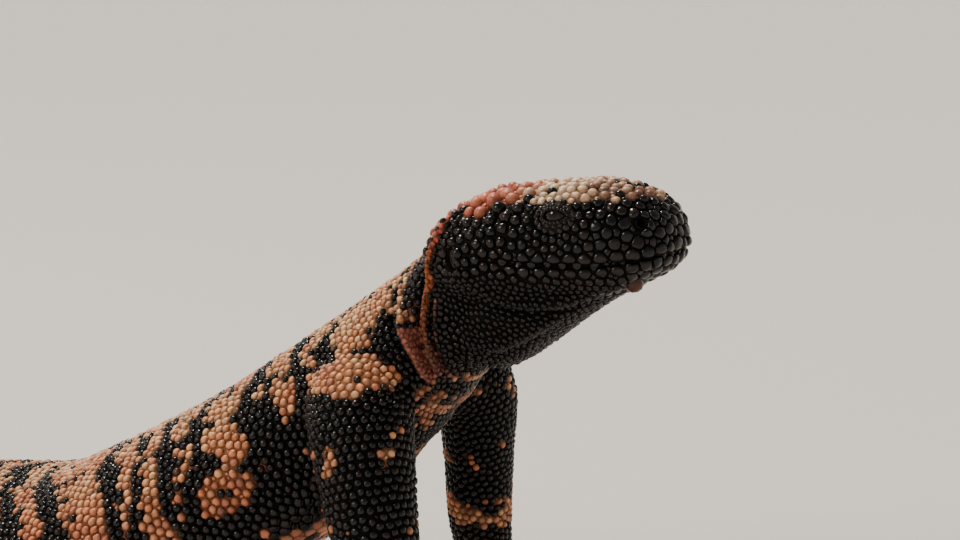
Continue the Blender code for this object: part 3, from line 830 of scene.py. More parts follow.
def candidates(where, density):
    """Random points on the skin's faces where a test holds, density for each square millimetre."""
    tri = CORNERS[:, :3]
    a, b, c = SKIN_POINTS[tri[:, 0]], SKIN_POINTS[tri[:, 1]], SKIN_POINTS[tri[:, 2]]
    d = SKIN_POINTS[CORNERS[:, -1]]
    area = np.linalg.norm(np.cross(c - a, d - b), axis=1) / 2
    area = np.maximum(area, np.linalg.norm(np.cross(b - a, c - a), axis=1) / 2)
    chosen = where((a + c) / 2, units(SKIN_NORMALS[tri].sum(1)))
    weight = area * chosen
    count = int(weight.sum() * density)
    picked = random.choice(len(weight), count, p=weight / weight.sum())
    u, v = random.random(count), random.random(count)
    quad = CORNERS.shape[1] == 4
    if quad:
        p = (
            a[picked] * ((1 - u) * (1 - v))[:, None] + b[picked] * (u * (1 - v))[:, None]
            + c[picked] * (u * v)[:, None] + d[picked] * ((1 - u) * v)[:, None]
        )
    return p


def grow_seeds():
    fixed = frozen_seeds()
    fixed[:, :3] = onto_skin(fixed[:, :3], False)
    ghosts = ghost_seeds()
    trunk = rows_along(spine_rows, (spine_t, spine_side, spine_up), lambda l: float(np.interp(l, [0, 24, 75, 205, 235, 300, 352], [1.75, 1.75, 2.15, 2.2, 2.65, 2.6, 1.9])), 4.0, SPINE_LENGTH + 1.0)
    seeds = [trunk]
    for name, rows in limb_rows.items():
        length = np.linalg.norm(np.diff(rows[:, :3], axis=0), axis=1).sum()
        seeds.append(rows_along(rows, limb_frames[name], lambda l: float(np.interp(l, [0, 16, 40, 90], [2.2, 2.1, 1.95, 1.8])), 14.0, length - 1.0))
    seeds = np.vstack(seeds)
    hit, normal = onto_skin(seeds)
    near = np.linalg.norm(hit - seeds, axis=1) < 2.6
    hit, normal = hit[near], normal[near]
    at = Places(hit, normal)
    keep = (at.part != 1) & (at.part < 6) & (fold_weight(at) < 0.25)
    hit = hit[keep]
    at = Places(hit, normal[keep])
    pitch, _, _ = scale_sizes(at)
    order = np.arange(len(hit))
    rows_kept = scatter(hit[order], pitch[order], fixed[:, :3], fixed[:, 3], ease=0.72)
    # the rest of the skin: head, hands, feet, folds and whatever the rows left bare
    taken = np.vstack([fixed[:, :3], rows_kept])
    at = Places(rows_kept, onto_skin(rows_kept)[1])
    taken_pitch = np.concatenate([fixed[:, 3], scale_sizes(at)[0]])
    tries = candidates(lambda p, n: np.ones(len(p)), 3.4)
    near_ghost = np.zeros(len(tries), bool)
    for g in ghosts:
        near_ghost |= np.linalg.norm(tries - g[:3], axis=1) < g[3] + 0.35
    tries = tries[~near_ghost]
    at = Places(tries, onto_skin(tries)[1])
    rest = scatter(tries, scale_sizes(at)[0], taken, taken_pitch, ease=0.84)
    free = np.vstack([rows_kept, rest])
    return fixed, ghosts, free


def relax(fixed, ghosts, free, turns):
    """Pushes the free seeds apart along the skin until their gaps are even."""
    everyone = np.vstack([fixed[:, :3], free, ghosts[:, :3]])
    nf, ng = len(fixed), len(ghosts)
    near = None
    for turn in range(turns):
        moving = everyone[nf : len(everyone) - ng]
        if turn % 3 == 0:
            hit, normal = onto_skin(moving)
            at = Places(hit, normal)
            pitch = np.concatenate([fixed[:, 3], scale_sizes(at)[0], ghosts[:, 3] * 2])
            normals = np.vstack([onto_skin(fixed[:, :3])[1], normal, np.zeros((ng, 3))])
            tree = KDTree(len(everyone))
            for i, p in enumerate(everyone.tolist()):
                tree.insert(p, i)
            tree.balance()
            find = tree.find_n
            near = np.array([[j for _, j, _ in find(p, 11)] for p in moving.tolist()])
        d = moving[:, None, :] - everyone[near]
        far = np.linalg.norm(d, axis=2)
        want = (pitch[nf : len(everyone) - ng, None] + pitch[near]) * 0.5 * 1.09
        push = np.maximum(want - far, 0.0) / want
        push[far < 1e-6] = 0.0
        agree = (normals[nf : len(everyone) - ng, None, :] * normals[near]).sum(2)
        push *= np.where(near >= len(everyone) - ng, 1.4, step(agree, -0.2, 0.3))
        move = (d / np.maximum(far, 1e-6)[:, :, None] * (push * pitch[near])[:, :, None]).sum(1) * 0.42
        n = normals[nf : len(everyone) - ng]
        move -= n * (move * n).sum(1)[:, None]
        long = np.linalg.norm(move, axis=1)
        move *= np.minimum(1.0, 0.5 / np.maximum(long, 1e-9))[:, None]
        moved = onto_skin(moving + move, False)
        everyone[nf : len(everyone) - ng] = moved
    return everyone[nf : len(everyone) - ng]


def thinned(points, pitch, fixed, least):
    """Drops seeds that are crowded by one before them."""
    tree = KDTree(len(points) + len(fixed))
    for i, p in enumerate(points.tolist()):
        tree.insert(p, i)
    for i, p in enumerate(fixed[:, :3].tolist()):
        tree.insert(p, len(points) + i)
    tree.balance()
    gone = np.zeros(len(points), bool)
    for i, p in enumerate(points.tolist()):
        if gone[i]:
            continue
        for _, j, d in tree.find_range(p, pitch[i] * least):
            if j == i:
                continue
            if j >= len(points):
                gone[i] = True
                break
            if j > i:
                gone[j] = True
    return points[~gone]


fixed, ghosts, free = grow_seeds()
print("seeds", len(fixed), len(free))
free = relax(fixed, ghosts, free, 9)
at = Places(free, onto_skin(free)[1])
free = thinned(free, scale_sizes(at)[0], fixed, 0.62)
free = relax(fixed, ghosts, free, 9)
free = onto_skin(free + random.normal(0, 0.09, free.shape), False)


def granules(fixed, ghosts, free):
    """Small scales for the gaps that are left, with the pitch that fits each."""
    everyone = np.vstack([fixed[:, :3], free, ghosts[:, :3]])
    hit, normal = onto_skin(free)
    pitch = np.concatenate([fixed[:, 3], scale_sizes(Places(hit, normal))[0], ghosts[:, 3] * 2])
    tree = KDTree(len(everyone))
    for i, p in enumerate(everyone.tolist()):
        tree.insert(p, i)
    tree.balance()
    tries = candidates(lambda p, n: np.ones(len(p)), 5.0)
    room = np.empty(len(tries))
    for i, p in enumerate(tries.tolist()):
        room[i] = min(d - 0.47 * pitch[j] for _, j, d in tree.find_n(p, 7))
    open_ = room > 0.40
    tries, room = tries[open_], room[open_]
    order = np.argsort(-room, kind="stable")
    tries, room = tries[order], room[order]
    grid, kept = {}, []
    for i, (p, r) in enumerate(zip(tries.tolist(), room.tolist())):
        r = min(r, 0.85)
        x, y, z = (int(c // 2.0) for c in p)
        near_ = [q for dx in (-1, 0, 1) for dy in (-1, 0, 1) for dz in (-1, 0, 1) for q in grid.get((x + dx, y + dy, z + dz), ())]
        if all(math.dist(p, q[:3]) > 0.95 * (r + q[3]) for q in near_):
            grid.setdefault((x, y, z), []).append((*p, r))
            kept.append((*p, 2 * r))
    return np.array(kept)


small = granules(fixed, ghosts, free)
print("after relaxing", len(free), "granules", len(small))


# ------------------------------------------------------------- markings
# dark bars of the right flank: half width, then places along the spine (mm) and round it (degrees)
BARS = (
    (3.2, ((11.0, -38), (17.0, -47), (21.0, -57), (25.0, -66))),
    (4.6, ((28.5, -69), (32.0, -77), (31.0, -88), (24.0, -100), (16.0, -112))),
    (2.7, ((38.5, -8), (42.1, -30), (44.8, -38), (46.8, -48), (48.0, -62), (49.5, -68))),
    (2.1, ((57.0, 3), (55.0, -25), (55.4, -52), (57.5, -68), (62.0, -84))),
    (5.2, ((63.0, -84), (68.0, -94), (74.0, -108))),
    (1.3, ((64.0, -40), (66.8, -49), (67.0, -58))),
    (2.6, ((66.2, -59), (66.5, -84))),
    (1.8, ((69.5, -66), (71.5, -76), (74.5, -85), (77.5, -93))),
    (2.4, ((67.0, 4), (70.4, -25), (72.0, -58), (69.5, -78), (72.0, -100))),
    (2.6, ((83.0, -4), (86.2, -31), (87.0, -64), (92.8, -85), (94.0, -104))),
    (2.1, ((101.0, -14), (99.2, -27), (96.0, -61), (98.4, -79))),
    (1.3, ((86.6, -46), (97.0, -49))),
    (1.2, ((89.0, -73), (98.0, -70))),
    (1.5, ((108.5, -22), (106.5, -39), (104.9, -59), (105.7, -73), (109.0, -92))),
    (2.5, ((122.0, 3), (120.0, -31), (112.7, -63), (112.7, -78), (115.0, -98))),
    (1.2, ((121.0, -34), (133.0, -40), (136.0, -46))),
    (2.7, ((149.0, 4), (146.5, -18), (132.8, -56), (129.3, -71), (130.0, -98))),
    (1.3, ((131.0, -72), (143.0, -76))),
    (2.5, ((163.0, 2), (161.0, -25), (144.1, -64), (143.0, -95))),
    (2.7, ((177.0, -5), (172.0, -40), (160.0, -72), (158.0, -98))),
    (2.4, ((190.0, 3), (184.0, -45), (176.0, -80), (175.0, -100))),
    (2.6, ((201.0, -4), (198.0, -50), (192.0, -90))),
)
# painted shadow low behind the right arm: bars that make the flank dark down to the belly
LOW_SHADOW = ((4.4, ((68.0, -116), (78.0, -119))), (4.0, ((70.5, -92), (76.5, -97))), (4.2, ((72.0, -103), (79.0, -108), (88.0, -100), (96.0, -96))))
# painted shade in the hollow between the light neck and the light cap of the shoulder: bars made dark there
HOLLOW_SHADE = ((2.5, ((33.0, -70), (36.0, -78), (35.5, -90), (33.5, -98))), (1.4, ((36.5, -69), (39.5, -74))))
# light patches there: along, round, reach along (mm), reach across (mm)
PATCHES = ((36.0, -24, 9.0, 9.0), (43.0, -82, 8.0, 9.0), (80.0, -78, 4.0, 8.0), (40.0, -61, 4.5, 5.0), (113.0, -33, 4.0, 7.0), (103.0, -43, 2.5, 5.0))


def depth_in_bars(along_, round_, bars):
    """Millimetres inside the nearest bar, below 0 outside."""
    best = np.full(len(along_), -9.0)
    y = round_ * 27.0
    for half, line in bars:
        line = np.array(line, float)
        line[:, 1] = np.radians(line[:, 1]) * 27.0
        for a, b in zip(line[:-1], line[1:]):
            d = b - a
            t = np.clip(((along_ - a[0]) * d[0] + (y - a[1]) * d[1]) / (d @ d), 0, 1)
            best = np.maximum(best, half - np.hypot(along_ - a[0] - t * d[0], y - a[1] - t * d[1]))
    return best


def wedge(at):
    """The bare pink wedge of skin behind the first fold, pointed below."""
    below = step(at.w, -14.2, -15.4) * step(at.w, -29.5, -27.5) * (at.part < 2) * step(np.abs(at.v), 9.0, 12.0)
    return below * step(fold_offset(at, 0), 1.3, 1.9) * step(fold_offset(at, 1), 0.7, 0.1)


def markings(at):
    """How black each place is, 0 to 1 with the edge at 0.5, and how pale, how red and how brown its light scales are."""
    p, count = at.p, len(at.p)
    slow, mid, quick = noise3(p, 17.0, 1), noise3(p, 7.5, 2), noise3(p, 3.2, 4)
    dark = np.zeros(count)
    body = at.part == 0
    # bars down the flanks, bent and broken by noise; the left side has its own run of the same bars
    l = at.along + 1.7 * mid + 1.0 * quick
    turn = at.round + 0.05 * mid
    left_along = l - 6.0 + 3.4 * slow
    depth = np.where(at.round < 0, depth_in_bars(l, turn, BARS), depth_in_bars(left_along, -turn * 1.04, BARS))
    depth = depth + 1.25 * quick + 0.5 * mid + 0.3
    d = 0.5 + 0.5 * np.clip(depth / 1.1, -1, 1)
    for a, r, across_a, across_r in PATCHES:
        q = ((l - a) / across_a) ** 2 + ((turn - math.radians(r)) * 25.0 / across_r) ** 2
        d -= 0.55 * np.exp(-q)
    # fine dark specks between the bars
    grain = noise3(p, 1.7, 9)
    d = np.maximum(d, 0.9 * step(quick + 0.45 * grain, 0.74, 0.9))
    below = np.cos(2 * math.pi * (at.along + 4.2 * slow + 1.9 * mid + 3.0 * np.abs(at.round)) / 15.5)
    d = mix(d, 0.5 + 0.36 * below + 0.26 * mid + 0.18 * quick, step(np.abs(at.round), 1.6, 2.0))
    # painted shadow: the flank low behind the right arm made dark
    d = np.maximum(d, 0.46 + 0.46 * np.clip((depth_in_bars(l, turn, LOW_SHADOW) + 1.4 * quick + 1.0 * mid) / 1.1, -1, 1))
    ringed = np.cos(2 * math.pi * (at.along + 2.6 * slow + 1.2 * mid - 10.0) / 25.0)
    t = 0.48 + 0.42 * ringed + 0.2 * mid + 0.24 * quick
    d = mix(d, t, step(at.along, 194, 216))
    d = mix(d, 0.95, step(at.along, 346, 352))
    # the black throat runs on to the first fold; behind it a brown-black band, then the mottled side of the neck
    before, behind = fold_offset(at, 0), fold_offset(at, 1)
    throat = step(before, 1.2, 0.4) * step(at.w, 5.0, 1.0) * (at.s < 64)
    d = mix(d, 0.97, throat)
    column = np.interp(at.w, [-13.0, -3.0, 4.0], [6.0, 11.3, 14.0]) + 0.4 * quick
    band = step(before, 0.8, 1.4) * step(before, column - 0.5, column - 1.3) * step(at.w, 9.0, 6.0) * step(at.w, -17.0, -14.0) * (at.s < 74)
    d = mix(d, mix(0.82, 0.42, step(at.w, -7.0, -10.5)) + 0.22 * quick, band)
    beside = step(at.w, -15.0, -13.5) * step(at.w, 4.0, 1.0) * (at.s < 80)
    d = mix(d, 0.9, step(np.abs(before - column - 2.0), 1.3, 0.8) * beside)
    d = mix(d, 0.06, step(np.abs(before - column), 1.25, 0.8) * beside)
    dark[body] = d[body]
    # the head: black face, sides, chin and throat; a light cap, brown before the eyes
    head = at.part == 1
    edge = np.interp(at.s, [1, 3, 5, 12, 20, 28, 33, 38, 44, 50, 56], [7.4, 9.0, 10.3, 10.9, 11.6, 11.4, 11.4, 10.6, 8.8, 6.0, 3.0])
    edge = edge + 0.5 * mid + 0.5 * quick
    cap = step(at.w, edge - 1.1, edge + 0.9) * step(at.s + 0.8 * mid, 1.2, 3.4)
    d = 1.0 - 0.95 * cap
    front_top = step(at.s + 1.5 * mid, 19.5, 16.5)
    d = np.maximum(d, cap * front_top * (0.5 + 0.5 * np.clip((quick + 0.5 * mid - 0.42) / 0.5, -1, 1)))
    speck = step(0.5 * mid + 0.6 * quick, 0.55, 0.75)
    d = np.maximum(d, 0.85 * speck * step(at.s, 40, 29) * step(at.s, 20, 23))
    dark[head] = d[head]
    # limbs: light shoulders and thighs, black nets on them, black hands and feet
    limb = (at.part >= 2) & (at.part < 6)
    wave = np.cos(2 * math.pi * (at.limb_l + 3.5 * slow + 2.0 * mid) / 19.0 + 0.6)
    d = 0.50 + 0.30 * wave + 0.30 * mid + 0.26 * quick
    d += 0.24 * step(at.limb_l, 40, 74)
    arm = (at.part == 2) | (at.part == 3)
    # the arms darker below the shoulder's top and down the upper arm: painted shade over their own markings
    shaded_blot = step(at.limb_l + 7.0 * mid + 4.0 * slow + 2.5 * quick, 66, 48)
    d = np.where(arm, d + 0.40 * step(at.p[:, 2], 82, 77) * shaded_blot, d)
    dark[limb] = d[limb]
    # the front of the chest and the inner shoulders are mottled
    front = (at.part == 0) & (at.along > 26) & (at.along < 64) & (np.abs(at.round) > 1.62)
    dark[front] = (0.55 + 0.45 * mid + 0.45 * quick)[front]
    # a light cap on the shoulder's top
    shoulder = (arm | ((at.part == 0) & (at.along < 64))) * step(np.abs(at.p[:, 0] - 1.0), 20.0, 22.5)
    shoulder = shoulder * step(at.p[:, 2] + 1.2 * quick, 79.0, 81.5) * step(-at.p[:, 1] + 1.5 * mid + 2.6 * quick, -3.5, 2.0) * step(at.p[:, 2], 94, 90)
    dark = mix(dark, 0.12 + 0.2 * quick, shoulder * step(at.s, 62.0, 64.5))
    # painted shade: the hollow before the right shoulder made dark
    hollow_shade = (at.part == 0) * step(at.p[:, 0], -27.0, -25.5) * step(-at.p[:, 0], 8.0, 12.0)
    dark = np.maximum(dark, hollow_shade * (0.5 + 0.5 * np.clip((depth_in_bars(l, turn, HOLLOW_SHADE) + 0.9 * quick) / 1.1, -1, 1)))
    dark[at.part >= 6] = 0.92 + 0.12 * mid[at.part >= 6]
    # the folds behind the head: dark grooves, light ridges
    near_fold = fold_weight(at)
    dark = mix(dark, 0.95, step(near_fold, 0.25, 0.6))
    dark = mix(dark, 0.05, step(fold_ridge(at, 0), 0.42, 0.6))
    dark = mix(dark, 0.08 + 0.1 * quick, wedge(at))
    # light scales paler on the back and the nape: partly their own colour, partly painted light, the top lit more than
    # the flanks
    lit_back = step(np.abs(at.round), 1.25, 0.5)
    nape = step(at.along, 75, 40)
    pale = np.clip(0.18 + 0.40 * lit_back + 0.22 * nape + 0.22 * slow + 0.16 * quick, 0, 1)
    # the crown's light scales run to cream before the rose back of the head: partly their own colour, partly a painted
    # highlight where the crown is lit
    pale = np.where(head, np.clip(0.1 + 0.9 * step(at.s + 1.5 * mid, 33, 27) - 0.35 * front_top, 0, 1), pale)
    red = np.where(head, 0.78 * step(at.s + 1.5 * mid, 28, 34), 0.10 + 0.25 * np.clip(mid, 0, 1))
    brown = np.where(head, front_top * (0.66 + 0.4 * quick), 0.0)
    front = (at.part == 0) & (at.along < 64) & (np.abs(at.round) > 1.62)
    brown = np.where(front, 0.55, brown)
    brown = np.where(at.part == 0, np.maximum(brown, 0.95 * band), brown)
    # the light scales are deeper in colour low on the flanks: partly their own colour, partly painted shade of the
    # lower flank
    low = step(np.abs(at.round), 0.95, 1.6) * (at.part == 0) * step(at.along, 26, 44) * step(at.along, 215, 190)
    red, brown = red + 0.20 * low, np.maximum(brown, 0.30 * low)
    return dark, pale, red, np.clip(brown, 0, 1)


BLACK = np.array((0.0062, 0.0054, 0.0054))
UMBER = np.array((0.026, 0.012, 0.009))
SALMON = np.array((0.74, 0.30, 0.145))
CREAM = np.array((0.87, 0.59, 0.345))
ROSE = np.array((0.60, 0.15, 0.10))
BROWN = np.array((0.30, 0.135, 0.09))
EMBER = np.array((0.37, 0.11, 0.042))
BLUSH = np.array((0.34, 0.125, 0.09))
IVORY = np.array((0.94, 0.75, 0.56))


def colours(at, spread, seed):
    """Colour of each place; with spread, each scale takes a side of its own."""
    dark, pale, red, brown = markings(at)
    draw = np.random.default_rng(seed)
    count = len(at.p)
    own = draw.normal(0, 1, (count, 3)) * spread
    is_dark = step(dark + 0.10 * own[:, 0], 0.5 - 0.04, 0.5 + 0.04)
    if spread:
        odd = draw.random(count)
        trunk = at.part != 1
        plain = (wedge(at) < 0.3) & (fold_ridge(at, 0) < 0.3)
        is_dark = np.where(trunk & plain & (odd < 0.02) & (is_dark < 0.5), 1.0, is_dark)
    light = mix(SALMON, CREAM, np.clip(pale + 0.20 * own[:, 1], 0, 1)[:, None])
    # ivory on the head's pale scales: partly their own colour, partly a painted highlight of the lit crown
    light = mix(light, IVORY, (0.6 * np.clip(pale, 0, 1) * (at.part == 1))[:, None])
    light = mix(light, ROSE, np.clip(red + 0.15 * own[:, 2], 0, 1)[:, None])
    light = mix(light, BROWN, np.clip(brown + 0.22 * own[:, 2], 0, 1)[:, None])
    light = mix(light, BLUSH, wedge(at)[:, None])
    rim = mix(EMBER, ROSE * 0.8, step(at.w, 0.0, 7.0)[:, None])
    rim = mix(rim, EMBER * 0.62, step(at.w, -3.0, -11.0)[:, None])
    rim = mix(rim, BLUSH * 0.55, step(at.w, -15.0, -22.0)[:, None])
    rim = rim * mix(1.0, 0.55, step(fold_offset(at, 0), -1.3, -1.9))[:, None]
    light = mix(light, rim, step(fold_ridge(at, 0), 0.3, 0.6)[:, None])
    light = light * (1.0 + 0.12 * own[:, :1])
    black = mix(BLACK, UMBER, np.clip(0.25 + 0.35 * own[:, 1:2], 0, 1))
    return np.clip(mix(light, black, is_dark[:, None]), 0.004, 0.95)


# ------------------------------------------------------------ materials
def new_material(name):
    made = bpy.data.materials.new(name)
    made.use_nodes = True
    nodes, links = made.node_tree.nodes, made.node_tree.links
    return made, nodes, links, nodes["Principled BSDF"]


def coat_material(name, mottle, bump, rough_dark, rough_light, grain):
    """Colour from the markings, a fine mottle over it, glossier where it is black."""
    made, nodes, links, shader = new_material(name)
    colour = nodes.new("ShaderNodeAttribute")
    colour.attribute_name = "Marking"
    place = nodes.new("ShaderNodeTexCoord")
    fine = nodes.new("ShaderNodeTexNoise")
    fine.inputs["Scale"].default_value = grain
    fine.inputs["Detail"].default_value = 4.0
    fine.inputs["Roughness"].default_value = 0.6
    links.new(place.outputs["Object"], fine.inputs["Vector"])
    value = nodes.new("ShaderNodeMapRange")
    value.inputs["From Min"].default_value = 0.3
    value.inputs["From Max"].default_value = 0.7
    value.inputs["To Min"].default_value = 1.0 - mottle
    value.inputs["To Max"].default_value = 1.0 + mottle * 0.6
    links.new(fine.outputs["Fac"], value.inputs["Value"])
    tone = nodes.new("ShaderNodeVectorMath")
    tone.operation = "SCALE"
    links.new(colour.outputs["Color"], tone.inputs[0])
    links.new(value.outputs["Result"], tone.inputs["Scale"])
    links.new(tone.outputs["Vector"], shader.inputs["Base Color"])
    lightness = nodes.new("ShaderNodeRGBToBW")
    links.new(colour.outputs["Color"], lightness.inputs["Color"])
    rough = nodes.new("ShaderNodeMapRange")
    rough.inputs["From Min"].default_value = 0.02
    rough.inputs["From Max"].default_value = 0.25
    rough.inputs["To Min"].default_value = rough_dark
    rough.inputs["To Max"].default_value = rough_light
    links.new(lightness.outputs["Val"], rough.inputs["Value"])
    streak = nodes.new("ShaderNodeMath")
    streak.operation = "MULTIPLY_ADD"
    streak.inputs[1].default_value = 0.16
    links.new(fine.outputs["Fac"], streak.inputs[0])
    links.new(rough.outputs["Result"], streak.inputs[2])
    links.new(streak.outputs["Value"], shader.inputs["Roughness"])
    relief = nodes.new("ShaderNodeBump")
    relief.inputs["Strength"].default_value = bump
    relief.inputs["Distance"].default_value = 0.00012
    links.new(fine.outputs["Fac"], relief.inputs["Height"])
    links.new(relief.outputs["Normal"], shader.inputs["Normal"])
    shader.inputs["Specular IOR Level"].default_value = 0.5
    return made


BEADS = coat_material("bead_scales", 0.26, 0.6, 0.13, 0.34, 1700.0)
SKIN = coat_material("skin_between_scales", 0.3, 0.6, 0.62, 0.66, 1400.0)
SKIN.node_tree.nodes["Principled BSDF"].inputs["Specular IOR Level"].default_value = 0.2
CLAW = coat_material("claw_horn", 0.18, 0.25, 0.20, 0.24, 700.0)
EYE = coat_material("wet_eye", 0.12, 0.0, 0.04, 0.05, 2600.0)
EYE.node_tree.nodes["Principled BSDF"].inputs["Coat Weight"].default_value = 0.25
EYE.node_tree.nodes["Principled BSDF"].inputs["Specular IOR Level"].default_value = 0.35
EYE.node_tree.nodes["Principled BSDF"].inputs["Coat Roughness"].default_value = 0.02
DRUM = coat_material("ear_membrane", 0.3, 0.6, 0.36, 0.42, 1500.0)


def paint(mesh, colour):
    layer = mesh.color_attributes.new("Marking", "FLOAT_COLOR", "POINT")
    rgba = np.ones((len(colour), 4), np.float32)
    rgba[:, :3] = colour
    layer.data.foreach_set("color", rgba.ravel())


# ----------------------------------------------------- the scales as cells
seeds = np.vstack([fixed[:, :3], free, small[:, :3]])
hit, normals = onto_skin(seeds)
seeds = hit
at = Places(seeds, normals)
pitch, high, full = scale_sizes(at)
rank = np.zeros(len(seeds), int)
nf = len(fixed)
pitch[:nf], high[:nf], full[:nf], rank[:nf] = fixed[:, 3], fixed[:, 4], fixed[:, 5], fixed[:, 6]
ns = len(seeds) - len(small)
high[ns:] = np.minimum(high[ns:], 0.30 * small[:, 3])
pitch[ns:] = small[:, 3]
colour = colours(at, 1.0, 71)
wart = np.linalg.norm(at.p - head_point(7.7, -5.9, -7.7), axis=1).argmin()
colour[wart] = (0.10, 0.028, 0.020)


def lie(at):
    """Direction along the body in the skin at each place."""
    i = nearest_on(at.p, spine_rows[:, :3])
    way = spine_t[i].copy()
    way[at.part == 1] = -AHEAD
    for k, name in enumerate(limb_rows):
        mine = at.part == 2 + k
        j = nearest_on(at.p[mine], limb_rows[name][:, :3])
        way[mine] = limb_frames[name][0][j]
    way -= at.n * (way * at.n).sum(1)[:, None]
    return units(way + 1e-6)


t1 = lie(at)
t2 = np.cross(normals, t1)
everyone = np.vstack([seeds, ghosts[:, :3]])
all_pitch = np.concatenate([pitch, ghosts[:, 3] * 2])
all_normals = np.vstack([normals, np.zeros((len(ghosts), 3))])
all_rank = np.concatenate([rank, np.full(len(ghosts), 9)])
tree = KDTree(len(everyone))
for i, p in enumerate(everyone.tolist()):
    tree.insert(p, i)
tree.balance()
near = np.array([[j for _, j, _ in tree.find_n(p, 14)] for p in seeds.tolist()])


def cell_radii(which, sides):
    """How far each scale reaches in each of its directions, up to its neighbours."""
    j = near[which]
    d = everyone[j] - seeds[which][:, None, :]
    far = np.linalg.norm(d, axis=2)
    a = (d * t1[which][:, None, :]).sum(2)
    b = (d * t2[which][:, None, :]).sum(2)
    flat = np.maximum(np.hypot(a, b), 1e-6)
    a, b = a / flat, b / flat
    ghost = j >= len(seeds)
    reach = far / 2 + (pitch[which][:, None] - all_pitch[j]) / 4
    reach = np.where(ghost, far - all_pitch[j] / 2, reach)
    lips = (rank[which][:, None] * all_rank[j]) == 2
    reach = reach - 0.20 * lips
    agree = (normals[which][:, None, :] * all_normals[j]).sum(2)
    off = (far < 1e-6) | ((agree < -0.1) & ~ghost)
    reach = np.maximum(reach, 0.26 * pitch[which][:, None])
    phi = np.linspace(0, 2 * math.pi, sides, endpoint=False)
    turn = (np.arange(len(which)) * 2.399963) % (2 * math.pi / sides)
    phi = phi[None, :] + turn[:, None]
    c = np.cos(phi)[:, :, None] * a[:, None, :] + np.sin(phi)[:, :, None] * b[:, None, :]
    inverse = np.where(off[:, None, :], 0.0, np.maximum(c, 0.0) / reach[:, None, :])
    # a soft minimum rounds the corners, more on round beads than on shields
    k = np.where(full[which] > 2.7, 16.0, 9.0)[:, None]
    cap = 1.0 / (pitch[which] * np.where(full[which] > 2.7, 0.74, 0.60))
    total = (inverse ** k[:, :, None]).sum(2) + cap[:, None] ** k
    return total ** (-1.0 / k) - GAP, phi


GAP = 0.055


def scale_mesh(name, which, sides, rhos, unwrap):
    """One joined mesh of the chosen scales, with its OFBake map."""
    radius, phi = cell_radii(which, sides)
    own = np.random.default_rng(900 + len(which))
    radius = np.maximum(radius * (1.0 - 0.11 * own.random((len(which), 1)) ** 2), 0.2)
    x, n = seeds[which], normals[which]
    way = np.cos(phi)[:, :, None] * t1[which][:, None, :] + np.sin(phi)[:, :, None] * t2[which][:, None, :]
    rim = x[:, None, :] + way * radius[:, :, None]
    landed = onto_skin(rim.reshape(-1, 3), False).reshape(rim.shape)
    out = landed - x[:, None, :]
    rise = (out * n[:, None, :]).sum(2)
    flat = out - rise[:, :, None] * n[:, None, :]
    length = np.linalg.norm(flat, axis=2)
    flat *= (radius / np.maximum(length, 1e-6)).clip(0.6, 1.25)[:, :, None]
    mean = radius.mean(1)
    draw = np.random.default_rng(500 + len(which))
    tall = high[which] * np.clip(mean / (0.5 * pitch[which]), 0.35, 1.12) * (1 + 0.11 * draw.normal(size=len(which))).clip(0.75, 1.3)
    f = full[which]
    rings, shaded_tones = [], []
    lean = draw.normal(0, 0.08, (len(which), 2))
    for rho in rhos:
        h = -0.3 if rho == 1.0 else tall * (1 - rho**f) ** (1 / f)
        h = np.broadcast_to(h, len(which))
        tilt = (np.cos(phi) * lean[:, :1] + np.sin(phi) * lean[:, 1:]) * radius * rho * (rho < 1)
        ring_points = x[:, None, :] + flat * rho + n[:, None, :] * (rise * rho**2 + h[:, None] + tilt)[:, :, None]
        rings.append(ring_points)
        # painted shade and highlight: each ring's colour darker towards the scale's root and lighter up its dome
        shaded_tones.append(0.30 if rho == 1.0 else 0.62 + 0.42 * (1 - rho) ** 0.6)
    top = x + n * tall[:, None]
    per = sides * len(rhos) + 1
    points = np.concatenate([np.concatenate(rings, axis=1), top[:, None, :]], axis=1)
    points[:, :, 2] = np.maximum(points[:, :, 2], 0.03)
    # the top point lighter still: a painted highlight on every scale
    tone = np.concatenate([np.repeat(shaded_tones, sides), [1.03]])
    shade = colour[which][:, None, :] * tone[None, :, None]
    # faces of one scale, as triangles
    local = []
    for r in range(len(rhos) - 1):
        for k in range(sides):
            m = (k + 1) % sides
            a, b, c, d = r * sides + k, r * sides + m, (r + 1) * sides + m, (r + 1) * sides + k
            local += [(a, b, c), (a, c, d)]
    last = (len(rhos) - 1) * sides
    for k in range(sides):
        local.append((last + k, last + (k + 1) % sides, per - 1))
    local = np.array(local)
    faces = (local[None, :, :] + (np.arange(len(which)) * per)[:, None, None]).reshape(-1, 3)
    mesh = fill_mesh(name, points.reshape(-1, 3), faces)
    paint(mesh, np.clip(shade.reshape(-1, 3), 0, 1))
    # each scale is a small round patch at its root's place on the unwrap
    spots = unwrap(which)
    patch = np.zeros((per, 2))
    angle = np.linspace(0, 2 * math.pi, sides, endpoint=False)
    for r, rho in enumerate(rhos):
        size = 0.0015 * (1.0 - 0.72 * r / len(rhos))
        patch[r * sides : (r + 1) * sides] = np.column_stack([np.cos(angle), np.sin(angle)]) * size
    uv = (spots[:, None, :] + patch[None, :, :]).reshape(-1, 2)
    layer = mesh.uv_layers.new(name="OFBake")
    layer.data.foreach_set("uv", uv[faces.ravel()].astype(np.float32).ravel())
    return mesh


def spread_out(a, b):
    """Two coordinates brought to 0.02 to 0.98."""
    both = np.column_stack([a, b]).astype(float)
    lo, hi = both.min(0), both.max(0)
    return 0.02 + 0.96 * (both - lo) / np.maximum(hi - lo, 1e-6)


def body_unwrap(which):
    return spread_out(at.along[which], at.round[which])


def head_unwrap(which):
    return spread_out(at.s[which], np.arctan2(at.v[which], at.w[which] + 1.0))


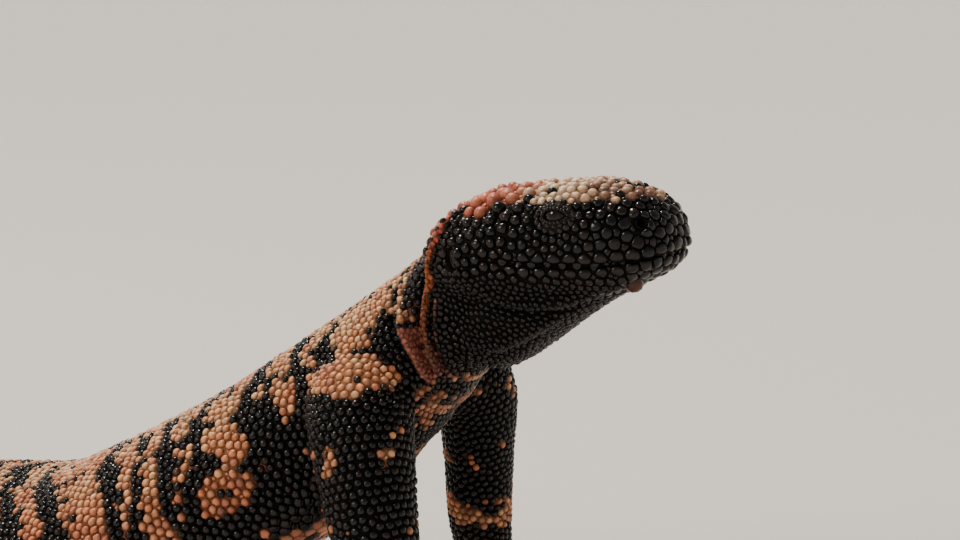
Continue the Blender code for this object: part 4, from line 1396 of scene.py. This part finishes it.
def limb_unwrap(which):
    """Tubes of the limbs on the left half, tops and soles of the feet on the right."""
    uv = np.zeros((len(which), 2))
    part = at.part[which]
    for sides, offset in (((2, 4), 0.0), ((3, 5), 0.0)):
        pass
    tube = part < 6
    if tube.any():
        both = spread_out(at.limb_l[which][tube], at.limb_a[which][tube])
        uv[tube] = both * (0.47, 1.0)
    for under in (False, True):
        mine = ~tube & ((at.n[which][:, 2] < 0) == under)
        if mine.any():
            both = spread_out(at.p[which][mine, 0], at.p[which][mine, 1])
            uv[mine] = both * (0.47, 0.47) + (0.51, 0.51 if under else 0.0)
    return uv


every = np.arange(len(seeds))
is_head, is_body = at.part == 1, at.part == 0
upper_head = is_head & ((at.w > mouth_height(np.minimum(at.s, 34)) - 3.6) | (rank > 0))
left = at.p[:, 0] > 0
groups = [
    ("scales_head", upper_head, 14, (1.0, 0.95, 0.78, 0.45), head_unwrap),
    ("scales_throat", is_head & ~upper_head, 10, (1.0, 0.9, 0.55), head_unwrap),
    ("scales_neck", is_body & (at.along < 48), 12, (1.0, 0.93, 0.7, 0.35), body_unwrap),
    ("scales_chest", is_body & (at.along >= 48) & (at.along < 98), 12, (1.0, 0.93, 0.7, 0.35), body_unwrap),
    ("scales_belly", is_body & (at.along >= 98) & (at.along < 168), 11, (1.0, 0.92, 0.6), body_unwrap),
    ("scales_rump", is_body & (at.along >= 168) & (at.along < 236), 11, (1.0, 0.92, 0.6), body_unwrap),
    ("scales_tail", is_body & (at.along >= 236), 11, (1.0, 0.92, 0.6), body_unwrap),
]
for name, k in (("arm_r", 0), ("arm_l", 1), ("leg_r", 2), ("leg_l", 3)):
    groups.append((f"scales_{name}", (at.part == 2 + k) | (at.part == 6 + k), 10, (1.0, 0.9, 0.55), limb_unwrap))
total = 0
for name, chosen, sides, rhos, unwrap in groups:
    which = every[chosen]
    mesh = scale_mesh(name, which, sides, rhos, unwrap)
    total += len(mesh.polygons)
    print(name, len(which), "scales", len(mesh.polygons), "triangles")
    shown(name, mesh, BEADS)
print("coat triangles", total)

# ------------------------------------------------------- the skin itself
skin_at = Places(SKIN_POINTS, SKIN_NORMALS)
paint(skin_mesh, colours(skin_at, 0.0, 5) * np.where(fold_weight(skin_at) > 0.3, 0.8, 0.40)[:, None])
skin_mesh.polygons.foreach_set("use_smooth", np.ones(len(skin_mesh.polygons), bool))
for old in list(skin_mesh.materials):
    skin_mesh.materials.pop()
skin_mesh.name = "skin"
shown("skin", skin_mesh, SKIN, FLESH)


# ---------------------------------------------------------- eyes and lids
def grid_faces(rows, columns):
    faces = []
    for r in range(rows - 1):
        for k in range(columns):
            m = (k + 1) % columns
            faces.append((r * columns + k, r * columns + m, (r + 1) * columns + m, (r + 1) * columns + k))
    return faces


def dome_set(name, centres, outs, alongs, radii, talls, tints):
    """Small round scales with frames of their own, as one joined mesh."""
    sides, rhos = 9, (1.0, 0.88, 0.5)
    phi = np.linspace(0, 2 * math.pi, sides, endpoint=False)
    points, shaded_tones = [], []
    for c, n, t, r, h, tint in zip(centres, outs, alongs, radii, talls, tints):
        t = unit(t - n * float(t @ n))
        b = np.cross(n, t)
        for rho in rhos:
            rise = -0.25 if rho == 1.0 else h * (1 - rho**2.2) ** (1 / 2.2)
            points.append(c + rho * r * (np.cos(phi)[:, None] * t + np.sin(phi)[:, None] * b) + n * rise)
            # painted shade and highlight: the root ring darker than the dome, the top at full colour
            shaded_tones.append(np.tile(tint * (0.4 if rho == 1.0 else 0.9), (sides, 1)))
        points.append((c + n * h)[None, :])
        shaded_tones.append(tint[None, :])
    per = sides * len(rhos) + 1
    local = []
    for r in range(len(rhos) - 1):
        for k in range(sides):
            m = (k + 1) % sides
            a, b, c, d = r * sides + k, r * sides + m, (r + 1) * sides + m, (r + 1) * sides + k
            local += [(a, b, c), (a, c, d)]
    for k in range(sides):
        local.append(((len(rhos) - 1) * sides + k, (len(rhos) - 1) * sides + (k + 1) % sides, per - 1))
    local = np.array(local)
    faces = (local[None] + (np.arange(len(centres)) * per)[:, None, None]).reshape(-1, 3)
    mesh = fill_mesh(name, np.vstack(points), faces)
    paint(mesh, np.vstack(shaded_tones))
    spots = np.column_stack([
        0.1 + 0.8 * (np.arange(len(centres)) % 12) / 12.0, 0.1 + 0.8 * (np.arange(len(centres)) // 12) / 12.0
    ])
    patch = np.zeros((per, 2))
    for r in range(len(rhos)):
        patch[r * sides : (r + 1) * sides] = np.column_stack([np.cos(phi), np.sin(phi)]) * 0.0015 * (1 - 0.3 * r)
    uv = (spots[:, None, :] + patch[None]).reshape(-1, 2)
    layer = mesh.uv_layers.new(name="OFBake")
    layer.data.foreach_set("uv", uv[faces.ravel()].astype(np.float32).ravel())
    return mesh


for side, sign in (("l", 1.0), ("r", -1.0)):
    centre = head_point(EYE_AT, sign * EYE_OUT, EYE_UP)
    look = unit(sign * LEFT * 0.95 + AHEAD * 0.16 + ABOVE * 0.12)
    fore = unit(AHEAD - look * (AHEAD @ look))
    rise = np.cross(look, fore) * sign * -1.0
    rise = rise if rise @ ABOVE > 0 else -rise
    # the eyeball: pupil, iris and rim by the angle from where it looks
    rows, columns = 40, 48
    polar = np.linspace(0.0, math.pi, rows + 1)[1:-1]
    phi = np.linspace(0, 2 * math.pi, columns, endpoint=False)
    points, tint = [], []
    for a in polar:
        bulge = 1.0 + 0.035 * math.exp(-((a / 0.62) ** 2))
        ring_way = math.cos(a) * look + math.sin(a) * (np.cos(phi)[:, None] * fore + np.sin(phi)[:, None] * rise)
        points.append(centre + EYE_R * bulge * ring_way)
        streaks = 0.75 + 0.25 * np.sin(phi * 17 + 3 * np.sin(phi * 5)) * math.sin(a * 9)
        pupil = step(a, 0.27, 0.31)
        edge = step(a, 0.60, 0.70)
        iris = np.outer(streaks, (0.026, 0.011, 0.006))
        iris = iris * (1.0 + 0.9 * math.exp(-(((a - 0.36) / 0.06) ** 2)))
        c = mix(np.tile((0.003, 0.003, 0.003), (columns, 1)), iris, pupil)
        tint.append(mix(c, np.tile((0.012, 0.008, 0.007), (columns, 1)), edge))
    faces = grid_faces(len(polar), columns)
    points = np.vstack(points + [(centre + EYE_R * 1.035 * look)[None], (centre - EYE_R * look)[None]])
    tint = np.vstack(tint + [np.full((1, 3), 0.003), np.full((1, 3), 0.012)])
    tri = []
    for f in faces:
        tri += [(f[0], f[1], f[2]), (f[0], f[2], f[3])]
    n = len(polar) * columns
    for k in range(columns):
        m = (k + 1) % columns
        tri += [(n, m, k), (n + 1, n - columns + k, n - columns + m)]
    mesh = fill_mesh("eyeball_" + side, points, np.array(tri))
    bm = bmesh.new()
    bm.from_mesh(mesh)
    bmesh.ops.recalc_face_normals(bm, faces=bm.faces)
    bm.to_mesh(mesh)
    bm.free()
    paint(mesh, tint)
    shown("eyeball_" + side, mesh, EYE, ["eye_" + side])
    # the lids: thick rims over the eyeball that run out into the skin
    columns = 72
    phi = np.linspace(0, 2 * math.pi, columns, endpoint=False)
    open_x = 2.3 * np.cos(phi)
    open_y = np.where(np.sin(phi) > 0, 1.22, 0.98) * np.sin(phi) * (1 - 0.3 * np.cos(phi) ** 6)
    open_r = np.hypot(open_x, open_y)
    way = (open_x / open_r)[:, None] * fore + (open_y / open_r)[:, None] * rise
    alpha = np.arcsin(np.clip(open_r / EYE_R, 0, 0.98))
    wrinkle = np.sin(phi * 9 + 0.6) * 0.05 + np.sin(phi * 16) * 0.03
    lid_rows = []
    for over, beyond in ((-0.05, 0.22), (0.05, 0.0), (0.26, -0.055), (0.48, -0.01), (0.62, 0.08), (0.66, 0.20), (0.60, 0.33)):
        r = EYE_R + over + wrinkle * (over > 0.3)
        a = alpha + beyond
        lid_rows.append(centre + r[:, None] * (np.cos(a)[:, None] * look + np.sin(a)[:, None] * way) if hasattr(r, "shape") else centre + r * (np.cos(a)[:, None] * look + np.sin(a)[:, None] * way))
    outer_x, outer_y = 4.7 * np.cos(phi), np.where(np.sin(phi) > 0, 3.6, 4.0) * np.sin(phi)
    goal = centre + look * 2.2 + outer_x[:, None] * fore + outer_y[:, None] * rise
    landed, landed_n = onto_skin(goal)
    goal = landed - landed_n * 0.35
    start_row = lid_rows[-1]
    for t in (0.3, 0.6, 0.85, 1.0):
        blend = mix(start_row, goal, t)
        lid_rows.append(blend + look * 0.28 * math.sin(math.pi * t) * (1 - t) * 1.6)
    points = np.vstack(lid_rows)
    faces = []
    for f in grid_faces(len(lid_rows), columns):
        faces.append(f)
    mesh = fill_mesh("eyelids_" + side, points, np.array(faces))
    bm = bmesh.new()
    bm.from_mesh(mesh)
    bmesh.ops.recalc_face_normals(bm, faces=bm.faces)
    bm.to_mesh(mesh)
    bm.free()
    co, no = read_points(mesh)
    if ((co - centre) * no).sum(1).mean() < 0:
        mesh.flip_normals()
    tone = np.full((len(points), 3), 0.02) * (1.0, 0.72, 0.62)
    paint(mesh, tone)
    shown("eyelids_" + side, mesh, SKIN)
    centres, outs, ways, radii, talls, tints = [], [], [], [], [], []
    draw = np.random.default_rng(31)
    for row_at, count, size, tall in ((4, 24, 0.37, 0.25), (6, 20, 0.55, 0.36), (8, 17, 0.76, 0.50)):
        for k in range(count):
            at_column = (k + 0.5 * (row_at % 4 == 0)) / count * columns
            i = int(at_column) % columns
            here, there = lid_rows[row_at][i], lid_rows[row_at][(i + 1) % columns]
            spot = mix(here, there, at_column % 1.0)
            across = lid_rows[row_at + 1][i] - lid_rows[row_at - 1][i]
            out = np.cross(there - here, across)
            out = unit(out if out @ look > 0 else -out)
            centres.append(spot - out * 0.03)
            outs.append(out)
            ways.append(there - here)
            grow = 1 + 0.16 * draw.normal()
            radii.append(size * grow)
            talls.append(tall * grow)
            tints.append(np.array((0.016, 0.012, 0.011)) * (1 + 0.5 * draw.random()))
    mesh = dome_set("scales_eyelids_" + side, centres, outs, ways, radii, talls, tints)
    shown("scales_eyelids_" + side, mesh, BEADS)
    # the ear drum: a taut oval skin, dished, low in its pit
    rows, columns = 12, 40
    phi = np.linspace(0, 2 * math.pi, columns, endpoint=False)
    hub = head_point(EAR_AT, sign * (EAR_OUT - 1.35), EAR_UP)
    out = unit(sign * LEFT - AHEAD * 0.08)
    points, tint = [], []
    for k in range(rows):
        rho = 1.0 - k / (rows - 0.5)
        depth = 0.55 * (rho**4) * -1.4 + 0.35 * math.exp(-((rho - 0.8) / 0.18) ** 2) - 0.1 * (1 - rho)
        flat = rho * (1.65 * np.cos(phi)[:, None] * -AHEAD + 2.65 * np.sin(phi)[:, None] * ABOVE)
        points.append(hub + flat + out * depth)
        tint.append(np.tile(mix(np.array((0.010, 0.006, 0.006)), np.array((0.026, 0.015, 0.012)), 1 - rho), (columns, 1)))
    points.append((hub - out * 0.12)[None])
    tint.append(np.array([(0.026, 0.015, 0.012)]))
    tri = []
    for f in grid_faces(rows, columns):
        tri += [(f[0], f[1], f[2]), (f[0], f[2], f[3])]
    for k in range(columns):
        tri.append(((rows - 1) * columns + k, (rows - 1) * columns + (k + 1) % columns, rows * columns))
    mesh = fill_mesh("ear_drum_" + side, np.vstack(points), np.array(tri))
    co, no = read_points(mesh)
    if (no @ out).mean() < 0:
        mesh.flip_normals()
    paint(mesh, np.vstack(tint))
    shown("ear_drum_" + side, mesh, DRUM, ["ear_" + side])

# ------------------------------------------------------------------ claws
for name in LIMBS:
    kind, side = name.split("_")
    where = NAMES[kind][2]
    for k, (_, claw) in enumerate(toes_of(name), 1):
        radii = CLAW_R * np.array([1.0, 0.92, 0.7, 0.42, 0.10])
        rows = catmull(np.column_stack([claw, radii * 0.8, radii, np.full(5, 2.2)]), 22)
        rows[:, 3:5] = np.maximum(rows[:, 3:5], 0.09)
        points, faces = along(rows, 18)
        count = len(rows) * 18
        round_ = np.tile(np.arange(18), len(rows)) * (2 * math.pi / 18)
        far = np.repeat(np.linspace(0, 1, len(rows)), 18)
        keel = 0.10 * np.exp(-((np.sin(round_) - 1) / 0.12) ** 2) * (1 - far)
        points[:count, 2] += keel
        tri = []
        for f in faces:
            tri += [(f[0], f[1], f[2]), (f[0], f[2], f[3])] if len(f) == 4 else [f]
        points[:, 2] = np.maximum(points[:, 2], 0.04)
        mesh = fill_mesh(f"claw_horn_{where}_{side}_{k}", points, np.array(tri))
        far = np.concatenate([far, [0, 1]])
        tint = mix(np.array((0.020, 0.014, 0.012)), np.array((0.16, 0.09, 0.05)), (far**1.6)[:, None])
        paint(mesh, tint)
        shown(mesh.name, mesh, CLAW, [f"claw_{where}_{side}_{k}"])

# everything so far is in millimetres and unshifted
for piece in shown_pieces():
    if piece.get("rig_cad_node"):
        continue
    co = np.empty(len(piece.data.vertices) * 3, np.float32)
    piece.data.vertices.foreach_get("co", co)
    co = (co.reshape(-1, 3).astype(float) + SHIFT) * MM
    put_points(piece.data, co)

# ------------------------------------------------------------- the stage
bpy.ops.mesh.primitive_plane_add(size=160.0, location=(0, 0, 0))
floor = bpy.context.object
floor.name = "floor"
made, nodes, links, shader = new_material("pale_floor")
shader.inputs["Base Color"].default_value = (0.74, 0.72, 0.69, 1.0)
shader.inputs["Roughness"].default_value = 0.9
shader.inputs["Specular IOR Level"].default_value = 0.0
floor.data.materials.append(made)

world = bpy.data.worlds.new("studio")
bpy.context.scene.world = world
world.use_nodes = True
nodes, links = world.node_tree.nodes, world.node_tree.links
sky = nodes["Background"]
sky.inputs["Strength"].default_value = 1.0
direction = nodes.new("ShaderNodeTexCoord")
height = nodes.new("ShaderNodeSeparateXYZ")
links.new(direction.outputs["Generated"], height.inputs["Vector"])
ramp = nodes.new("ShaderNodeValToRGB")
for at_, tone in ((0.0, (0.762, 0.710, 0.633)), (0.16, (0.74, 0.70, 0.64)), (0.55, (0.27, 0.27, 0.275)), (1.0, (0.27, 0.27, 0.275))):
    stop = ramp.color_ramp.elements[0] if at_ == 0.0 else ramp.color_ramp.elements[-1] if at_ == 1.0 else ramp.color_ramp.elements.new(at_)
    stop.position, stop.color = at_, (*tone, 1.0)
links.new(height.outputs["Z"], ramp.inputs["Fac"])
links.new(ramp.outputs["Color"], sky.inputs["Color"])

bank = bpy.data.lights.new("overhead", "SUN")
bank.energy = 2.6
bank.angle = 0.20
bank.color = (1.0, 0.93, 0.84)
lamp = bpy.data.objects.new("overhead", bank)
bpy.context.scene.collection.objects.link(lamp)
lamp.rotation_euler = Vector((-0.42, -0.42, -1.0)).to_track_quat("-Z", "Y").to_euler()


def area_light(name, place, aim, size, power, colour):
    light = bpy.data.lights.new(name, "AREA")
    light.shape = "DISK"
    light.size = size
    light.energy = power
    light.color = colour
    lamp = bpy.data.objects.new(name, light)
    bpy.context.scene.collection.objects.link(lamp)
    lamp.location = place
    lamp.rotation_euler = (Vector(aim) - Vector(place)).to_track_quat("-Z", "Y").to_euler()


area_light("side", (-0.75, 0.75, 0.80), (0, -0.08, 0.06), 0.40, 5.0, (1.0, 0.93, 0.84))
bpy.context.scene.view_settings.look = "AgX - Medium High Contrast"

# ------------------------------------------------------------- the camera
data = bpy.data.cameras.new("camera")
data.lens = 50
data.sensor_width = 36
data.clip_start = 0.01
data.clip_end = 150
camera = bpy.data.objects.new("camera", data)
bpy.context.scene.collection.objects.link(camera)
bearing, dip = math.radians(14.0), math.radians(11.3)
eye_point = Vector(((-295.7 + SHIFT[0]) * MM, (-107.8 + SHIFT[1]) * MM, 165.0 * MM))
forward = Vector((math.cos(bearing) * math.cos(dip), math.sin(bearing) * math.cos(dip), -math.sin(dip)))
right = Vector((math.sin(bearing), -math.cos(bearing), 0.0))
upward = right.cross(forward)
turned = Matrix((right, upward, -forward)).transposed().to_4x4()
turned.translation = eye_point
camera.matrix_world = turned
bpy.context.scene.camera = camera
bpy.context.view_layer.update()
